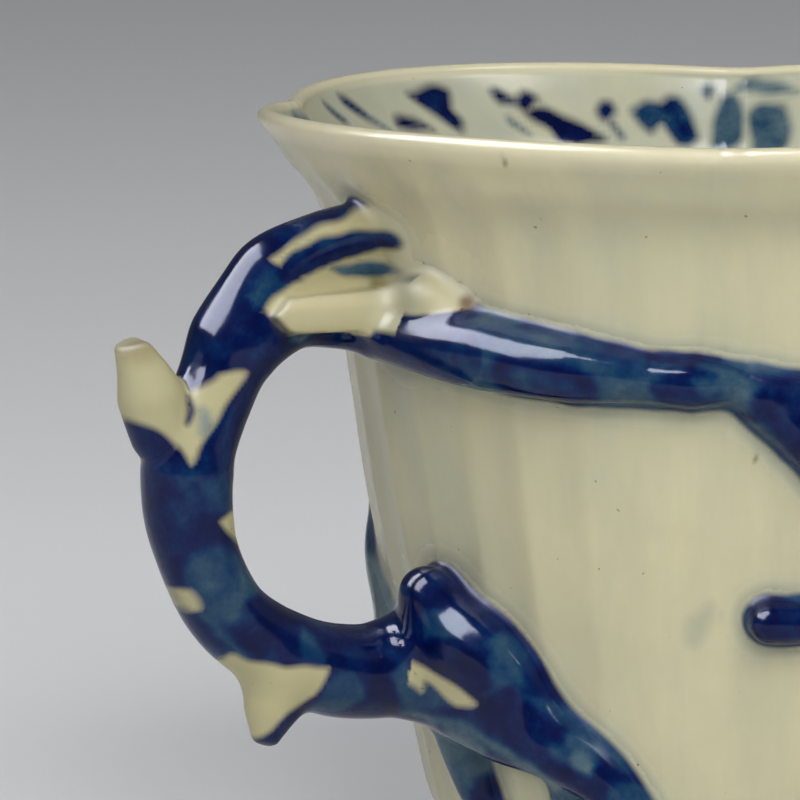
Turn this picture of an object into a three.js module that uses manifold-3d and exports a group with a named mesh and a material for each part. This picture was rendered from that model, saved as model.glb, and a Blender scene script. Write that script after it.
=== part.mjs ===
// A fluted porcelain coffee cup with a lobed mouth and a pruned-branch handle whose ends run on
// round the wall as applied branches. Millimetres, +Z up, the foot on z = 0, the handle towards -X.

import * as THREE from 'three';
import { mergeVertices } from 'three/addons/utils/BufferGeometryUtils.js';
import Module from 'manifold-3d';

const wasm = await Module();
wasm.setup();

// Cup: heights are above the table, radii are outside and in the middle of a lobe
const CUP_HEIGHT = 62.6;
const RIM_RADIUS = 39.6;
const FLARE_DROP = 9;          // the mouth turns outwards this far under the rim
const THROAT_RADIUS = 34;
const WAIST_HEIGHT = 41;
const WAIST_RADIUS = 31.6;
const BELLY_HEIGHT = 12;
const BELLY_RADIUS = 25.8;
const BASE_RADIUS = 20.6;
const WALL = 2.2;
const LIP = 1.5;
const FLOOR = 3.2;

// Foot ring
const FOOT_HEIGHT = 3;
const FOOT_RADIUS = 19.4;
const FOOT_WIDTH = 2.4;
const FOOT_SPREAD = 0.8;       // the ring is this much wider where it meets the base
const FOOT_EDGE = 0.4;

// Lobes of the mouth, and flutes of the wall; turns are degrees from the handle towards -Y
const NOTCH_TURNS = [55, 145, 235, 323];
const LOBE_FULLNESS = [0.5, 0.5, 1, 0.5];    // from each notch to the next; less is a broader lobe
const NOTCH_DEPTH = 3.5;
const NOTCH_DIP = 0.7;
const FLUTES = 36;
const FLUTE_DEPTH = 0.5;

// Handle: a loop in the plane y = 0, given by the middle of the branch. Its roots are at shares of
// the cup's height
const HANDLE_REACH = 18.4;     // from the waist of the wall out to the middle of the branch
const LOWER_ROOT_SHARE = 0.307;
const UPPER_ROOT_SHARE = 0.738;
const PRONG_ROOT_SHARE = 0.863;
const HANDLE_RADIUS = 3.3;
const PRONG_RADIUS = 2.35;

// Pruned twigs of the handle
const THUMB_SPUR_LENGTH = 5;
const THUMB_SPUR_RADIUS = 2.5;
const LOWER_SPUR_LENGTH = 6;
const LOWER_SPUR_RADIUS = 3.1;
const SPUR_POINT = 0.2;        // a spur's point is blunted this share of its length past the cut
const STUB_LENGTH = 9.4;
const STUB_HEIGHT = 3.4;
const STUB_PROUD = 1.5;

// Applied branches
const BRANCH_RADIUS = 2.5;     // the upper branch close to the handle; other girths are shares of it
const KNOB_SHARE = 0.76;
const SEAM = 0.3;              // slip-filled joint between an applied piece and what carries it
const GNARL = 0.05;            // unevenness of a branch, as a share of its radius
const GNARL_RIDGES = 3;
const SIDES = 10;
const SINK = 2;                // how deep a branch's end is let into what carries it

const MESH_SEGMENTS = 2 * FLUTES;
const DEGREES = Math.PI / 180;

const { clamp, lerp, smoothstep } = THREE.MathUtils;

// The outer wall's line in the middle of a lobe, from the base to the lip, as radius and height
function wallLine() {
  const throat = CUP_HEIGHT - FLARE_DROP;
  const base = FOOT_HEIGHT + SEAM;
  const bellyShare = (share) => lerp(base, BELLY_HEIGHT, share);
  const waistShare = (share) => lerp(BELLY_HEIGHT, WAIST_HEIGHT, share);
  return new THREE.SplineCurve([
    new THREE.Vector2(BASE_RADIUS, base),
    new THREE.Vector2(lerp(BASE_RADIUS, BELLY_RADIUS, 0.66), bellyShare(0.32)),
    new THREE.Vector2(BELLY_RADIUS, BELLY_HEIGHT),
    new THREE.Vector2(lerp(BELLY_RADIUS, WAIST_RADIUS, 0.3), waistShare(0.3)),
    new THREE.Vector2(lerp(BELLY_RADIUS, WAIST_RADIUS, 0.72), waistShare(0.68)),
    new THREE.Vector2(WAIST_RADIUS, WAIST_HEIGHT),
    new THREE.Vector2(THROAT_RADIUS, throat),
    new THREE.Vector2(lerp(THROAT_RADIUS, RIM_RADIUS, 0.6), lerp(throat, CUP_HEIGHT, 0.56)),
    new THREE.Vector2(RIM_RADIUS, CUP_HEIGHT - LIP / 2),
  ]);
}

const WALL_SAMPLES = wallLine().getPoints(80);

// Radius of the outer wall at a height, in the middle of a lobe
function wallRadius(height) {
  const above = WALL_SAMPLES.findIndex((point) => point.y >= height);
  if (above < 0) return WALL_SAMPLES.at(-1).x;
  if (above === 0) return WALL_SAMPLES[0].x;
  const [low, high] = [WALL_SAMPLES[above - 1], WALL_SAMPLES[above]];
  return lerp(low.x, high.x, (height - low.y) / (high.y - low.y));
}

// 0 in a notch of the mouth, 1 in the middle of a lobe
function lobe(turn) {
  const first = NOTCH_TURNS[0];
  const wrapped = THREE.MathUtils.euclideanModulo(turn - first, 360) + first;
  const index = NOTCH_TURNS.findLastIndex((notch) => notch <= wrapped);
  const start = NOTCH_TURNS[index];
  const end = NOTCH_TURNS[index + 1] ?? first + 360;
  return Math.sin(Math.PI * (wrapped - start) / (end - start)) ** LOBE_FULLNESS[index];
}

// How far the lobes draw the wall in at a place, full at the rim and nothing at the foot
function notchDepth(turn, height) {
  return NOTCH_DEPTH * (1 - lobe(turn)) * clamp(height / CUP_HEIGHT, 0, 1) ** 2;
}

// How far a flute's hollow draws the outer wall in; the flutes die out at the lip and the base
function fluteDepth(turn, height) {
  const lip = 1 - smoothstep(height, CUP_HEIGHT - 3 * LIP, CUP_HEIGHT - LIP);
  const base = smoothstep(height, FOOT_HEIGHT, BELLY_HEIGHT);
  return FLUTE_DEPTH * lip * base * (1 + Math.cos(FLUTES * turn * DEGREES)) / 2;
}

// A point by its turn round the axis, its distance from the axis and its height
function around(turn, radius, height) {
  const angle = turn * DEGREES;
  return new THREE.Vector3(-radius * Math.cos(angle), -radius * Math.sin(angle), height);
}

// A point that stands off the outer wall by lift
function onWall(turn, height, lift = 0) {
  return around(turn, wallRadius(height) - notchDepth(turn, height) + lift, height);
}

// Drops triangles with two corners in one place, which a revolve leaves on its axis
function withoutFlatTriangles(geometry) {
  const index = geometry.index.array;
  const kept = [];
  for (let i = 0; i < index.length; i += 3) {
    const [a, b, c] = [index[i], index[i + 1], index[i + 2]];
    if (a !== b && b !== c && c !== a) kept.push(a, b, c);
  }
  geometry.setIndex(kept);
  return geometry;
}

function signedVolume(geometry) {
  const { position } = geometry.attributes;
  const corners = [new THREE.Vector3(), new THREE.Vector3(), new THREE.Vector3()];
  let volume = 0;
  for (let i = 0; i < geometry.index.count; i += 3) {
    corners.forEach((corner, k) => corner.fromBufferAttribute(position, geometry.index.getX(i + k)));
    volume += corners[0].dot(corners[1].clone().cross(corners[2])) / 6;
  }
  return volume;
}

// A closed geometry as a solid that can be joined and cut
function solid(geometry) {
  geometry.deleteAttribute('normal');
  geometry.deleteAttribute('uv');
  const merged = withoutFlatTriangles(mergeVertices(geometry, 1e-4));
  const triVerts = Uint32Array.from(merged.index.array);
  if (signedVolume(merged) < 0) triVerts.reverse();
  const vertProperties = Float32Array.from(merged.attributes.position.array);
  return new wasm.Manifold(new wasm.Mesh({ numProp: 3, vertProperties, triVerts }));
}

// A solid as a geometry again
function geometryOf(manifold) {
  const { vertProperties, triVerts } = manifold.getMesh();
  const geometry = new THREE.BufferGeometry();
  geometry.setAttribute('position', new THREE.BufferAttribute(vertProperties, 3));
  geometry.setIndex(new THREE.BufferAttribute(triVerts, 1));
  geometry.computeVertexNormals();
  return geometry;
}

// A profile of [radius, height] pairs revolved about Z, each point then moved by shape
function revolved(profile, segments, shape = (point) => point) {
  const points = profile.map(([radius, height]) => new THREE.Vector2(radius, height));
  const geometry = new THREE.LatheGeometry(points, segments).rotateX(Math.PI / 2);
  const { position } = geometry.attributes;
  const point = new THREE.Vector3();
  for (let i = 0; i < position.count; i += 1) {
    shape(point.fromBufferAttribute(position, i), i % points.length);
    position.setXYZ(i, point.x, point.y, point.z);
  }
  return solid(geometry);
}

// Draws a point of the revolved cup in towards the axis by the lobes, and by the flutes outside
function shapeWall(point, outside) {
  const radius = Math.hypot(point.x, point.y);
  if (radius < SINK) return;
  const turn = Math.atan2(-point.y, -point.x) / DEGREES;
  const inward = notchDepth(turn, point.z) + (outside ? fluteDepth(turn, point.z) : 0);
  const dip = NOTCH_DIP * (1 - lobe(turn)) * smoothstep(point.z, WAIST_HEIGHT, CUP_HEIGHT);
  point.multiply(new THREE.Vector3(1 - inward / radius, 1 - inward / radius, 1));
  point.z -= dip;
}

// Heights at which the wall has a row of points, closer where the mouth turns outwards
function wallHeights(bottom) {
  const throat = CUP_HEIGHT - FLARE_DROP;
  const rows = (from, to, count) => Array.from({ length: count }, (_, i) => lerp(from, to, i / count));
  return [
    ...rows(bottom, BELLY_HEIGHT, 3),
    ...rows(BELLY_HEIGHT, WAIST_HEIGHT, 3),
    ...rows(WAIST_HEIGHT, throat, 2),
    ...rows(throat, CUP_HEIGHT - LIP / 2, 4),
    CUP_HEIGHT - LIP / 2,
  ];
}

function cupBody() {
  const base = FOOT_HEIGHT + SEAM;
  const outer = wallHeights(base).map((height) => [wallRadius(height), height]);
  const innerFloor = base + FLOOR;
  const inner = wallHeights(innerFloor + WALL).reverse()
    .map((height) => [wallRadius(height) - (height > CUP_HEIGHT - LIP ? LIP : WALL), height]);
  const floorRadius = inner.at(-1)[0];
  const profile = [
    [0, base],
    ...outer,
    [RIM_RADIUS - LIP / 4, CUP_HEIGHT - LIP / 6],
    [RIM_RADIUS - LIP / 2, CUP_HEIGHT],
    [RIM_RADIUS - LIP * 3 / 4, CUP_HEIGHT - LIP / 6],
    ...inner,
    [floorRadius - WALL, innerFloor],
    [0, innerFloor],
  ];
  const outsidePoints = outer.length + 1;
  return revolved(profile, MESH_SEGMENTS, (point, i) => shapeWall(point, i <= outsidePoints));
}

// What the wall's outside takes up, with the seam round it: applied pieces are cut back to this
function wallSeat() {
  const base = FOOT_HEIGHT + SEAM;
  const rows = wallHeights(base).map((height) => [wallRadius(height) + SEAM, height]);
  const above = CUP_HEIGHT + HANDLE_RADIUS;
  const profile = [[0, 0], [BASE_RADIUS + SEAM, 0], ...rows, [RIM_RADIUS + SEAM, above], [0, above]];
  return revolved(profile, MESH_SEGMENTS, (point) => shapeWall(point, true));
}

function footRing() {
  const inner = FOOT_RADIUS - FOOT_WIDTH;
  const profile = [
    [inner + FOOT_EDGE, 0],
    [FOOT_RADIUS - FOOT_EDGE, 0],
    [FOOT_RADIUS, FOOT_EDGE],
    [FOOT_RADIUS + FOOT_SPREAD, FOOT_HEIGHT],
    [inner - FOOT_SPREAD / 2, FOOT_HEIGHT],
    [inner, FOOT_EDGE],
    [inner + FOOT_EDGE, 0],
  ];
  return revolved(profile, MESH_SEGMENTS);
}

// Value at a share of the way through a list, straight between its entries
function along(list, share) {
  const place = share * (list.length - 1);
  const index = Math.min(Math.floor(place), list.length - 2);
  return lerp(list[index], list[index + 1], place - index);
}

// A branch: a round, slightly ridged section of changing radius swept along a smooth path
function branch(path, radii, grow = 0, steps = 3 * (path.length - 1)) {
  const curve = new THREE.CatmullRomCurve3(path, false, 'centripetal');
  const normal = new THREE.Vector3(0, 1, 0.3);
  const positions = [];
  const ring = (centre, tangent, radius, share) => {
    normal.addScaledVector(tangent, -normal.dot(tangent)).normalize();
    const side = tangent.clone().cross(normal);
    for (let k = 0; k < SIDES; k += 1) {
      const angle = 2 * Math.PI * k / SIDES;
      const ridge = 1 + GNARL * Math.sin(GNARL_RIDGES * angle + 2 * Math.PI * share);
      const point = centre.clone().addScaledVector(normal, radius * ridge * Math.cos(angle));
      point.addScaledVector(side, radius * ridge * Math.sin(angle));
      positions.push(...point);
    }
  };
  // The ends are rounded over by two smaller rings beyond the path
  const rounding = [[0.75, 0.6], [0.45, 0.85]];
  const radiusAt = (share) => along(radii, share) + grow;
  const start = { centre: curve.getPoint(0), tangent: curve.getTangent(0), radius: radiusAt(0) };
  const end = { centre: curve.getPoint(1), tangent: curve.getTangent(1), radius: radiusAt(1) };
  const capRing = ({ centre, tangent, radius }, [out, size], way, share) => {
    ring(centre.clone().addScaledVector(tangent, way * out * radius), tangent, size * radius, share);
  };
  rounding.forEach((step) => capRing(start, step, -1, 0));
  for (let i = 0; i <= steps; i += 1) {
    ring(curve.getPoint(i / steps), curve.getTangent(i / steps), radiusAt(i / steps), i / steps);
  }
  rounding.toReversed().forEach((step) => capRing(end, step, 1, 1));
  return loft(positions, SIDES);
}

// Closed solid through rings of points, with a fan over each end
function loft(positions, sides) {
  const rings = positions.length / 3 / sides;
  const faces = [];
  for (let i = 0; i < rings - 1; i += 1) {
    for (let k = 0; k < sides; k += 1) {
      const [a, b] = [i * sides + k, i * sides + (k + 1) % sides];
      faces.push(a, b, b + sides, a, b + sides, a + sides);
    }
  }
  const last = (rings - 1) * sides;
  for (let k = 1; k < sides - 1; k += 1) {
    faces.push(0, k + 1, k, last, last + k, last + k + 1);
  }
  const geometry = new THREE.BufferGeometry();
  geometry.setAttribute('position', new THREE.Float32BufferAttribute(positions, 3));
  geometry.setIndex(faces);
  return solid(geometry);
}

// Cuts a piece off flat through a point, as a pruning knife does; away points to what falls off
function pruned(piece, point, away) {
  const size = 4 * HANDLE_RADIUS;
  const box = new THREE.BoxGeometry(size, size, size).translate(0, 0, size / 2);
  box.applyQuaternion(new THREE.Quaternion().setFromUnitVectors(
    new THREE.Vector3(0, 0, 1), away.clone().normalize()));
  box.translate(...point);
  return piece.subtract(solid(box));
}

const cream = { color: '#cbc8a9', roughness: 0.25, metalness: 0 };
const cobalt = { color: '#22386f', roughness: 0.22, metalness: 0 };
const washedBlue = { color: '#5b78a3', roughness: 0.22, metalness: 0 };

const cup = new THREE.Group();

function add(name, finish, manifold) {
  const mesh = new THREE.Mesh(geometryOf(manifold), new THREE.MeshStandardMaterial(finish));
  mesh.name = name;
  cup.add(mesh);
}

function cutBack(piece, seats) {
  return seats.reduce((rest, seat) => rest.subtract(seat), piece);
}

// Adds a branch cut back to the pieces that carry it, and returns the space that it takes up itself
function addBranch(name, finish, path, radii, ...seats) {
  add(name, finish, cutBack(branch(path, radii), seats));
  return branch(path, radii, SEAM);
}

// A branch's path on the wall through [turn, level, lift] places; lift is how far its middle stands
// off the wall, as a share of the branch radius
function wallPath(places) {
  return places.map(([turn, level, lift]) => onWall(turn, level * CUP_HEIGHT, lift * BRANCH_RADIUS));
}

function girth(shares) {
  return shares.map((share) => share * BRANCH_RADIUS);
}

// A point of the handle's middle line: inward runs from 0 at its reach to 1 at the waist of the
// wall, and rise from 0 at its lower root to 1 at its upper one
function inLoop(inward, rise) {
  const x = -WAIST_RADIUS - HANDLE_REACH * (1 - inward);
  return new THREE.Vector3(x, 0, CUP_HEIGHT * lerp(LOWER_ROOT_SHARE, UPPER_ROOT_SHARE, rise));
}

const wall = wallSeat();
add('cup_body', cream, cupBody());
add('foot_ring', cream, footRing());

// The handle's loop, from its lower root out and up to the fork, and in to its upper root
const limbPath = [
  onWall(0, CUP_HEIGHT * LOWER_ROOT_SHARE, -SINK), inLoop(0.707, 0.015), inLoop(0.38, 0.11),
  inLoop(0.185, 0.215), inLoop(0.038, 0.41), inLoop(0, 0.63), inLoop(0.098, 0.81),
  inLoop(0.245, 0.97), inLoop(0.495, 1.055), inLoop(0.788, 1.035),
  onWall(2, CUP_HEIGHT * UPPER_ROOT_SHARE, -SINK),
];
const limbRadii = [1.15, 1.1, 0.98, 0.94, 0.98, 1.1, 0.97, 0.97, 0.82, 0.76, 0.76]
  .map((share) => share * HANDLE_RADIUS);
const limb = addBranch('handle_limb', cobalt, limbPath, limbRadii, wall);

// The other end of the fork, which meets the wall close under the mouth
const prongPath = [
  inLoop(0.196, 1.0), inLoop(0.37, 1.165), inLoop(0.641, 1.245),
  onWall(0, CUP_HEIGHT * PRONG_ROOT_SHARE, -SINK / 3), onWall(6, CUP_HEIGHT * PRONG_ROOT_SHARE, -SINK),
];
const prongRadii = [0.9, 1, 1, 0.95, 0.95].map((share) => share * PRONG_RADIUS);
const prong = addBranch('upper_prong', cobalt, prongPath, prongRadii, limb, wall);

// A pruned twig of the handle: a short taper that ends in a slanting knife cut and a blunted point
function addSpur(name, base, reach, radii, cutNormal, ...seats) {
  const tip = base.clone().add(reach);
  const path = [base, base.clone().addScaledVector(reach, 0.5), tip, tip.clone().add(reach)];
  const slanted = pruned(cutBack(branch(path, radii), seats), tip, cutNormal);
  add(name, cream, pruned(slanted, tip.clone().addScaledVector(reach, SPUR_POINT), reach));
}

const thumbReach = new THREE.Vector3(-0.35, 0, 0.94).multiplyScalar(THUMB_SPUR_LENGTH);
const thumbRadii = [0.9, 1, 0.9, 0.6].map((share) => share * THUMB_SPUR_RADIUS);
addSpur(
  'thumb_spur', inLoop(-0.12, 0.77), thumbReach, thumbRadii, new THREE.Vector3(0.65, -0.15, 0.72), limb);
const lowerReach = new THREE.Vector3(-0.12, 0, -1).multiplyScalar(LOWER_SPUR_LENGTH);
const lowerRadii = [1, 0.78, 0.36, 0.3].map((share) => share * LOWER_SPUR_RADIUS);
addSpur(
  'lower_spur', inLoop(0.446, 0.05), lowerReach, lowerRadii, new THREE.Vector3(-0.3, -0.2, -1), limb);

// A stub cut off flush with the limb, which leaves a long lozenge with bevelled edges
function cutStub() {
  const [half, rise] = [STUB_LENGTH / 2, STUB_HEIGHT / 2];
  const corners = [[-1, 0], [-0.6, -1], [0.6, -1], [1, 0], [0.6, 1], [-0.7, 1]];
  const lozenge = new THREE.Shape(corners.map(([x, y]) => new THREE.Vector2(x * half, y * rise)));
  const depth = STUB_PROUD + (HANDLE_RADIUS - STUB_PROUD) / 2;
  const bevel = STUB_PROUD / 2;
  const geometry = new THREE.ExtrudeGeometry(lozenge, {
    depth, bevelThickness: bevel, bevelSize: bevel, bevelOffset: -bevel, bevelSegments: 2,
  });
  geometry.rotateX(Math.PI / 2).translate(0, depth - PRONG_RADIUS - STUB_PROUD, 0);
  geometry.translate(...inLoop(0.674, 1.07));
  return solid(geometry);
}

// Upper branch: it runs on from the fork round the near wall, with a branch that turns down to a bud
const upperBranch = addBranch('upper_branch_front', cobalt, wallPath([
  [4, 0.738, 0.64], [12, 0.732, 0.44], [22, 0.724, 0.36], [34, 0.711, 0.28], [45, 0.701, 0.16],
  [51, 0.698, 0.24], [58, 0.696, 0.12], [68, 0.682, 0.12], [82, 0.677, 0.08], [96, 0.703, 0.08],
  [108, 0.744, 0.08],
]), girth([0.92, 1, 1.16, 1.04, 0.76, 0.88, 0.68, 0.64, 0.6, 0.52, 0.36]), limb, wall);
const turnedBranch = addBranch('turned_branch_front', cobalt, wallPath([
  [61, 0.671, 0.12], [67, 0.636, 0.16], [73, 0.575, 0.16], [78, 0.503, 0.12], [80, 0.423, 0.08],
  [78, 0.335, 0.04],
]), girth([0.64, 0.88, 0.84, 0.68, 0.56, 0.36]), upperBranch, wall);
addBranch('bud_twig_front', cobalt, wallPath([
  [79, 0.431, 0.08], [73, 0.409, 0.16], [67, 0.399, 0.24], [62.6, 0.399, 0.28],
]), girth([0.44, 0.44, 0.64, 0.68]), turnedBranch, wall);
addBranch('bud_twig_side', washedBlue, wallPath([
  [90, 0.687, 0.08], [95, 0.623, 0.12], [99, 0.567, 0.2], [101, 0.527, 0.2],
]), girth([0.44, 0.44, 0.6, 0.6]), upperBranch, wall);
const knuckle = addBranch('upper_knuckle', cream, wallPath([
  [7, 0.783, 0.24], [12, 0.786, 0.24], [16, 0.776, 0],
]), girth([0.48, 0.6, 0.4]), limb, prong, upperBranch, wall);
add('cut_stub', cream, cutBack(cutStub(), [limb, prong, upperBranch, knuckle, wall]));

// Lower branches: one runs down round the near wall and forks, one climbs round the far wall
const lowerBranch = addBranch('lower_branch_front', cobalt, wallPath([
  [2, 0.291, 0.64], [9, 0.272, 0.48], [17, 0.249, 0.32], [25, 0.233, 0.24], [32, 0.204, 0.16],
  [38, 0.16, 0.12], [43, 0.112, 0.08],
]), girth([1.24, 1.32, 1.24, 1.12, 0.96, 0.8, 0.56]), limb, wall);
const shoulder = addBranch('shoulder_twig_front', cobalt, wallPath([
  [4.5, 0.39, 0.48], [10, 0.396, 0.56], [15.5, 0.367, 0.48], [19.3, 0.323, 0.36], [21.5, 0.284, 0.28],
]), girth([0.88, 1, 1.04, 0.92, 0.76]), limb, lowerBranch, wall);
addBranch('lower_knob', cobalt, wallPath([
  [7.4, 0.412, 0.4], [9.8, 0.427, 0.96],
]), girth([KNOB_SHARE, KNOB_SHARE]), limb, shoulder, wall);
addBranch('fork_twig_front', cobalt, wallPath([
  [27, 0.216, 0.16], [29, 0.168, 0.12], [31, 0.112, 0.08],
]), girth([0.6, 0.6, 0.44]), lowerBranch, wall);
addBranch('lower_branch_down', washedBlue, wallPath([
  [2, 0.264, 0.24], [4.5, 0.2, 0.16], [6.5, 0.144, 0.08], [10, 0.099, 0.04],
]), girth([0.76, 0.76, 0.68, 0.48]), limb, lowerBranch, wall);
const farBranch = addBranch('lower_branch_far', cobalt, wallPath([
  [-3, 0.316, 0.4], [-12, 0.319, 0], [-22, 0.351, -0.48], [-30, 0.407, -0.4], [-38, 0.455, -0.32],
  [-48, 0.535, -0.04], [-60, 0.615, 0.08], [-75, 0.663, 0.08],
]), girth([1.16, 1.04, 0.92, 0.76, 0.72, 0.76, 0.64, 0.4]), limb, wall);
addBranch('bud_twig_far', cobalt, wallPath([
  [-50, 0.543, 0.04], [-57, 0.495, 0.16], [-63, 0.457, 0.2], [-67, 0.431, 0.24],
]), girth([0.44, 0.44, 0.6, 0.64]), farBranch, wall);

// The origin is under the middle of the whole outline, on the table
const outline = new THREE.Box3().setFromObject(cup);
const middle = outline.getCenter(new THREE.Vector3());
cup.position.set(-middle.x, -middle.y, -outline.min.z);
cup.updateMatrixWorld(true);

export default cup;
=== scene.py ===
"""Looks of a fluted porcelain coffee cup with a pruned-branch handle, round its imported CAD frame.

Sizes are in millimetres until a mesh is made. Places are measured from the cup's own axis, with
+Z up, the foot on z = 0 and the handle towards -X. A turn is in degrees round the axis, from the
handle towards -Y. The potted forms are one smooth field: branches are blended into each other and
into the wall, as glaze fills the joints, and the surface is then shared out among the pieces.
"""
import math

import bmesh
import bpy
import numpy as np
from mathutils import Matrix, Vector

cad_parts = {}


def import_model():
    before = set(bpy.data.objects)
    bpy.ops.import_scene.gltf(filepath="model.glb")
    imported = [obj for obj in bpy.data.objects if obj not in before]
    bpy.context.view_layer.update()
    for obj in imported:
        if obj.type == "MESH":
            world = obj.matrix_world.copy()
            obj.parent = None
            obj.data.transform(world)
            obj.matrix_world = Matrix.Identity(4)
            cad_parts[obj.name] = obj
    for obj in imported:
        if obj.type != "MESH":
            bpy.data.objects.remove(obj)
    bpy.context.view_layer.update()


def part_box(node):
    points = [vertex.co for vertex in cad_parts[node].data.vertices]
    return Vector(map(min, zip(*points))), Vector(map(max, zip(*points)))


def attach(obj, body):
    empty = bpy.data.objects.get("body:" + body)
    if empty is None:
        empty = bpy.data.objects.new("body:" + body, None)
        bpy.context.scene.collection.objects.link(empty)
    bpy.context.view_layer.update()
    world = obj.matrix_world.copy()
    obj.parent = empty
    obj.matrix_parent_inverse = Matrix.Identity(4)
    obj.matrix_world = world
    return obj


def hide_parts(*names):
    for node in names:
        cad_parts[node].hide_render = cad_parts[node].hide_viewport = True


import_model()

METRE = 0.001                   # metres in a millimetre
ring_low, ring_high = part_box("foot_ring")
AXIS = (ring_low + ring_high) / 2 / METRE
AXIS.z = 0

# Cup: the CAD model's driving sizes
CUP_HEIGHT = 62.6
RIM_RADIUS = 39.6
FLARE_DROP = 9
THROAT_RADIUS = 34
WAIST_HEIGHT = 41
WAIST_RADIUS = 31.6
BELLY_HEIGHT = 12
BELLY_RADIUS = 25.8
BASE_RADIUS = 20.6
BASE_HEIGHT = 3.3
WALL = 2.2
LIP = 1.5
LIP_INSET = 0.06                # keeps the round lip within the CAD model's box
FLOOR = 3.2
FOOT_HEIGHT = 3
FOOT_RADIUS = 19.4
FOOT_WIDTH = 2.4
FOOT_EDGE = 0.5                 # radius of the foot's two edges
FOOT_OVERLAP = 0.5              # how far its sides run on above that height, into the base
CORNER = 3                      # radius between the inside and its floor
NOTCH_TURNS = [55, 145, 235, 323]
LOBE_FULLNESS = [0.5, 0.5, 1, 0.5]
NOTCH_DEPTH = 3.5
NOTCH_DIP = 0.7
FLUTES = 36
FLUTE_DEPTH = 0.32
RIDGE_SOFTNESS = 0.045          # rounds the ridges between the flutes
FAINT_TURN, FAINT_WIDTH = 62, 24    # where the glaze nearly washes the flutes out
FAINT_SHARE = 0.6               # how much of their depth they lose there
HANDLE_REACH = 18.4
LOWER_ROOT = 0.307
UPPER_ROOT = 0.738
PRONG_ROOT = 0.863
HANDLE_RADIUS = 3.3
PRONG_RADIUS = 2.35
BRANCH_RADIUS = 2.5
SINK = 2

# Meshing
VOXEL = 0.3
BAND = 2.6                      # how far from a branch its field is worked out
GLAZE_FILLET = 1.45             # glaze gathered where a branch meets the wall
FEATHER = 0.018                 # the fillet's edge stands this far off the wall
ROOT_DEPTH = 0.8                # how far a branch is let into the wall
INNER_DEPTH = 0.22              # faces between two joined pieces stay this far under the glaze
GNARL = 0.07                    # unevenness of the hand-rolled branches
KNIFE_SOFTNESS = 0.45           # how far the edge of a pruning cut is rounded
WALL_SEGMENTS = 576
FOOT_SEGMENTS = 288


# The wall's shape

def hermite(a, b, slope_a, slope_b, t):
    """Points of a curve from a to b that leaves and arrives with the given slopes."""
    return ((2 * a - 2 * b + slope_a + slope_b) * t**3
            + (3 * b - 3 * a - 2 * slope_a - slope_b) * t**2 + slope_a * t + a)


def spline_2d(points, samples):
    """A smooth line through points, evenly in its parameter."""
    points = np.array(points, float)
    last = len(points) - 1
    place = np.linspace(0, last, samples)
    i = np.minimum(place.astype(int), last - 1)
    t = (place - i)[:, None]
    p0, p1 = points[np.maximum(i - 1, 0)], points[i]
    p2, p3 = points[i + 1], points[np.minimum(i + 2, last)]
    return hermite(p1, p2, (p2 - p0) / 2, (p3 - p1) / 2, t)


def lerp(a, b, share):
    return a + (b - a) * share


def smoothstep(x, low, high):
    t = np.clip((x - low) / (high - low), 0, 1)
    return t * t * (3 - 2 * t)


THROAT = CUP_HEIGHT - FLARE_DROP
WALL_LINE = spline_2d([
    (BASE_RADIUS, BASE_HEIGHT),
    (lerp(BASE_RADIUS, BELLY_RADIUS, 0.66), lerp(BASE_HEIGHT, BELLY_HEIGHT, 0.32)),
    (BELLY_RADIUS, BELLY_HEIGHT),
    (lerp(BELLY_RADIUS, WAIST_RADIUS, 0.3), lerp(BELLY_HEIGHT, WAIST_HEIGHT, 0.3)),
    (lerp(BELLY_RADIUS, WAIST_RADIUS, 0.72), lerp(BELLY_HEIGHT, WAIST_HEIGHT, 0.68)),
    (WAIST_RADIUS, WAIST_HEIGHT),
    (THROAT_RADIUS, THROAT),
    (lerp(THROAT_RADIUS, RIM_RADIUS, 0.6), lerp(THROAT, CUP_HEIGHT, 0.56)),
    (RIM_RADIUS, CUP_HEIGHT - LIP / 2),
], 400)


def wall_radius(height):
    return np.interp(height, WALL_LINE[:, 1], WALL_LINE[:, 0])


def sharp_lobe(turn):
    """0 in a notch of the mouth, 1 in the middle of a lobe."""
    first = NOTCH_TURNS[0]
    wrapped = (turn - first) % 360 + first
    index = np.searchsorted(NOTCH_TURNS, wrapped, side="right") - 1
    starts = np.array(NOTCH_TURNS, float)
    ends = np.array(NOTCH_TURNS[1:] + [first + 360], float)
    share = (wrapped - starts[index]) / (ends[index] - starts[index])
    return np.sin(np.pi * share).clip(0) ** np.array(LOBE_FULLNESS)[index]


def lobe(turn):
    """The same with the notches softened, as glaze and fingers leave them."""
    weights = {-6: 1, -3: 4, 0: 6, 3: 4, 6: 1}
    return sum(weight * sharp_lobe(turn + shift) for shift, weight in weights.items()) / 16


def notch_depth(turn, height):
    return NOTCH_DEPTH * (1 - lobe(turn)) * np.clip(height / CUP_HEIGHT, 0, 1) ** 2


def flute_depth(turn, height):
    """Broad hollows between narrow ridges, unevenly pressed."""
    lip = 1 - smoothstep(height, CUP_HEIGHT - 2.4 * LIP, CUP_HEIGHT - 0.9 * LIP)
    base = smoothstep(height, FOOT_HEIGHT, BELLY_HEIGHT)
    angle = np.radians(turn)
    hollow = np.sqrt(np.cos(FLUTES / 2 * angle) ** 2 + RIDGE_SOFTNESS)
    uneven = 0.8 + 0.14 * np.sin(3 * angle + 1) + 0.1 * np.sin(7 * angle + height / 19)
    off = (turn - FAINT_TURN + 180) % 360 - 180
    faint = 1 - FAINT_SHARE * np.exp(-(off / FAINT_WIDTH) ** 2)
    return FLUTE_DEPTH * lip * base * hollow * uneven * faint


def outer_radius(turn, height):
    return wall_radius(height) - notch_depth(turn, height) - flute_depth(turn, height)


def around(turn, radius, height):
    angle = np.radians(turn)
    return np.stack(np.broadcast_arrays(-radius * np.cos(angle), -radius * np.sin(angle), height), -1)


def on_wall(turn, height, lift=0.0):
    return around(turn, wall_radius(height) - notch_depth(turn, height) + lift, height)


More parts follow.
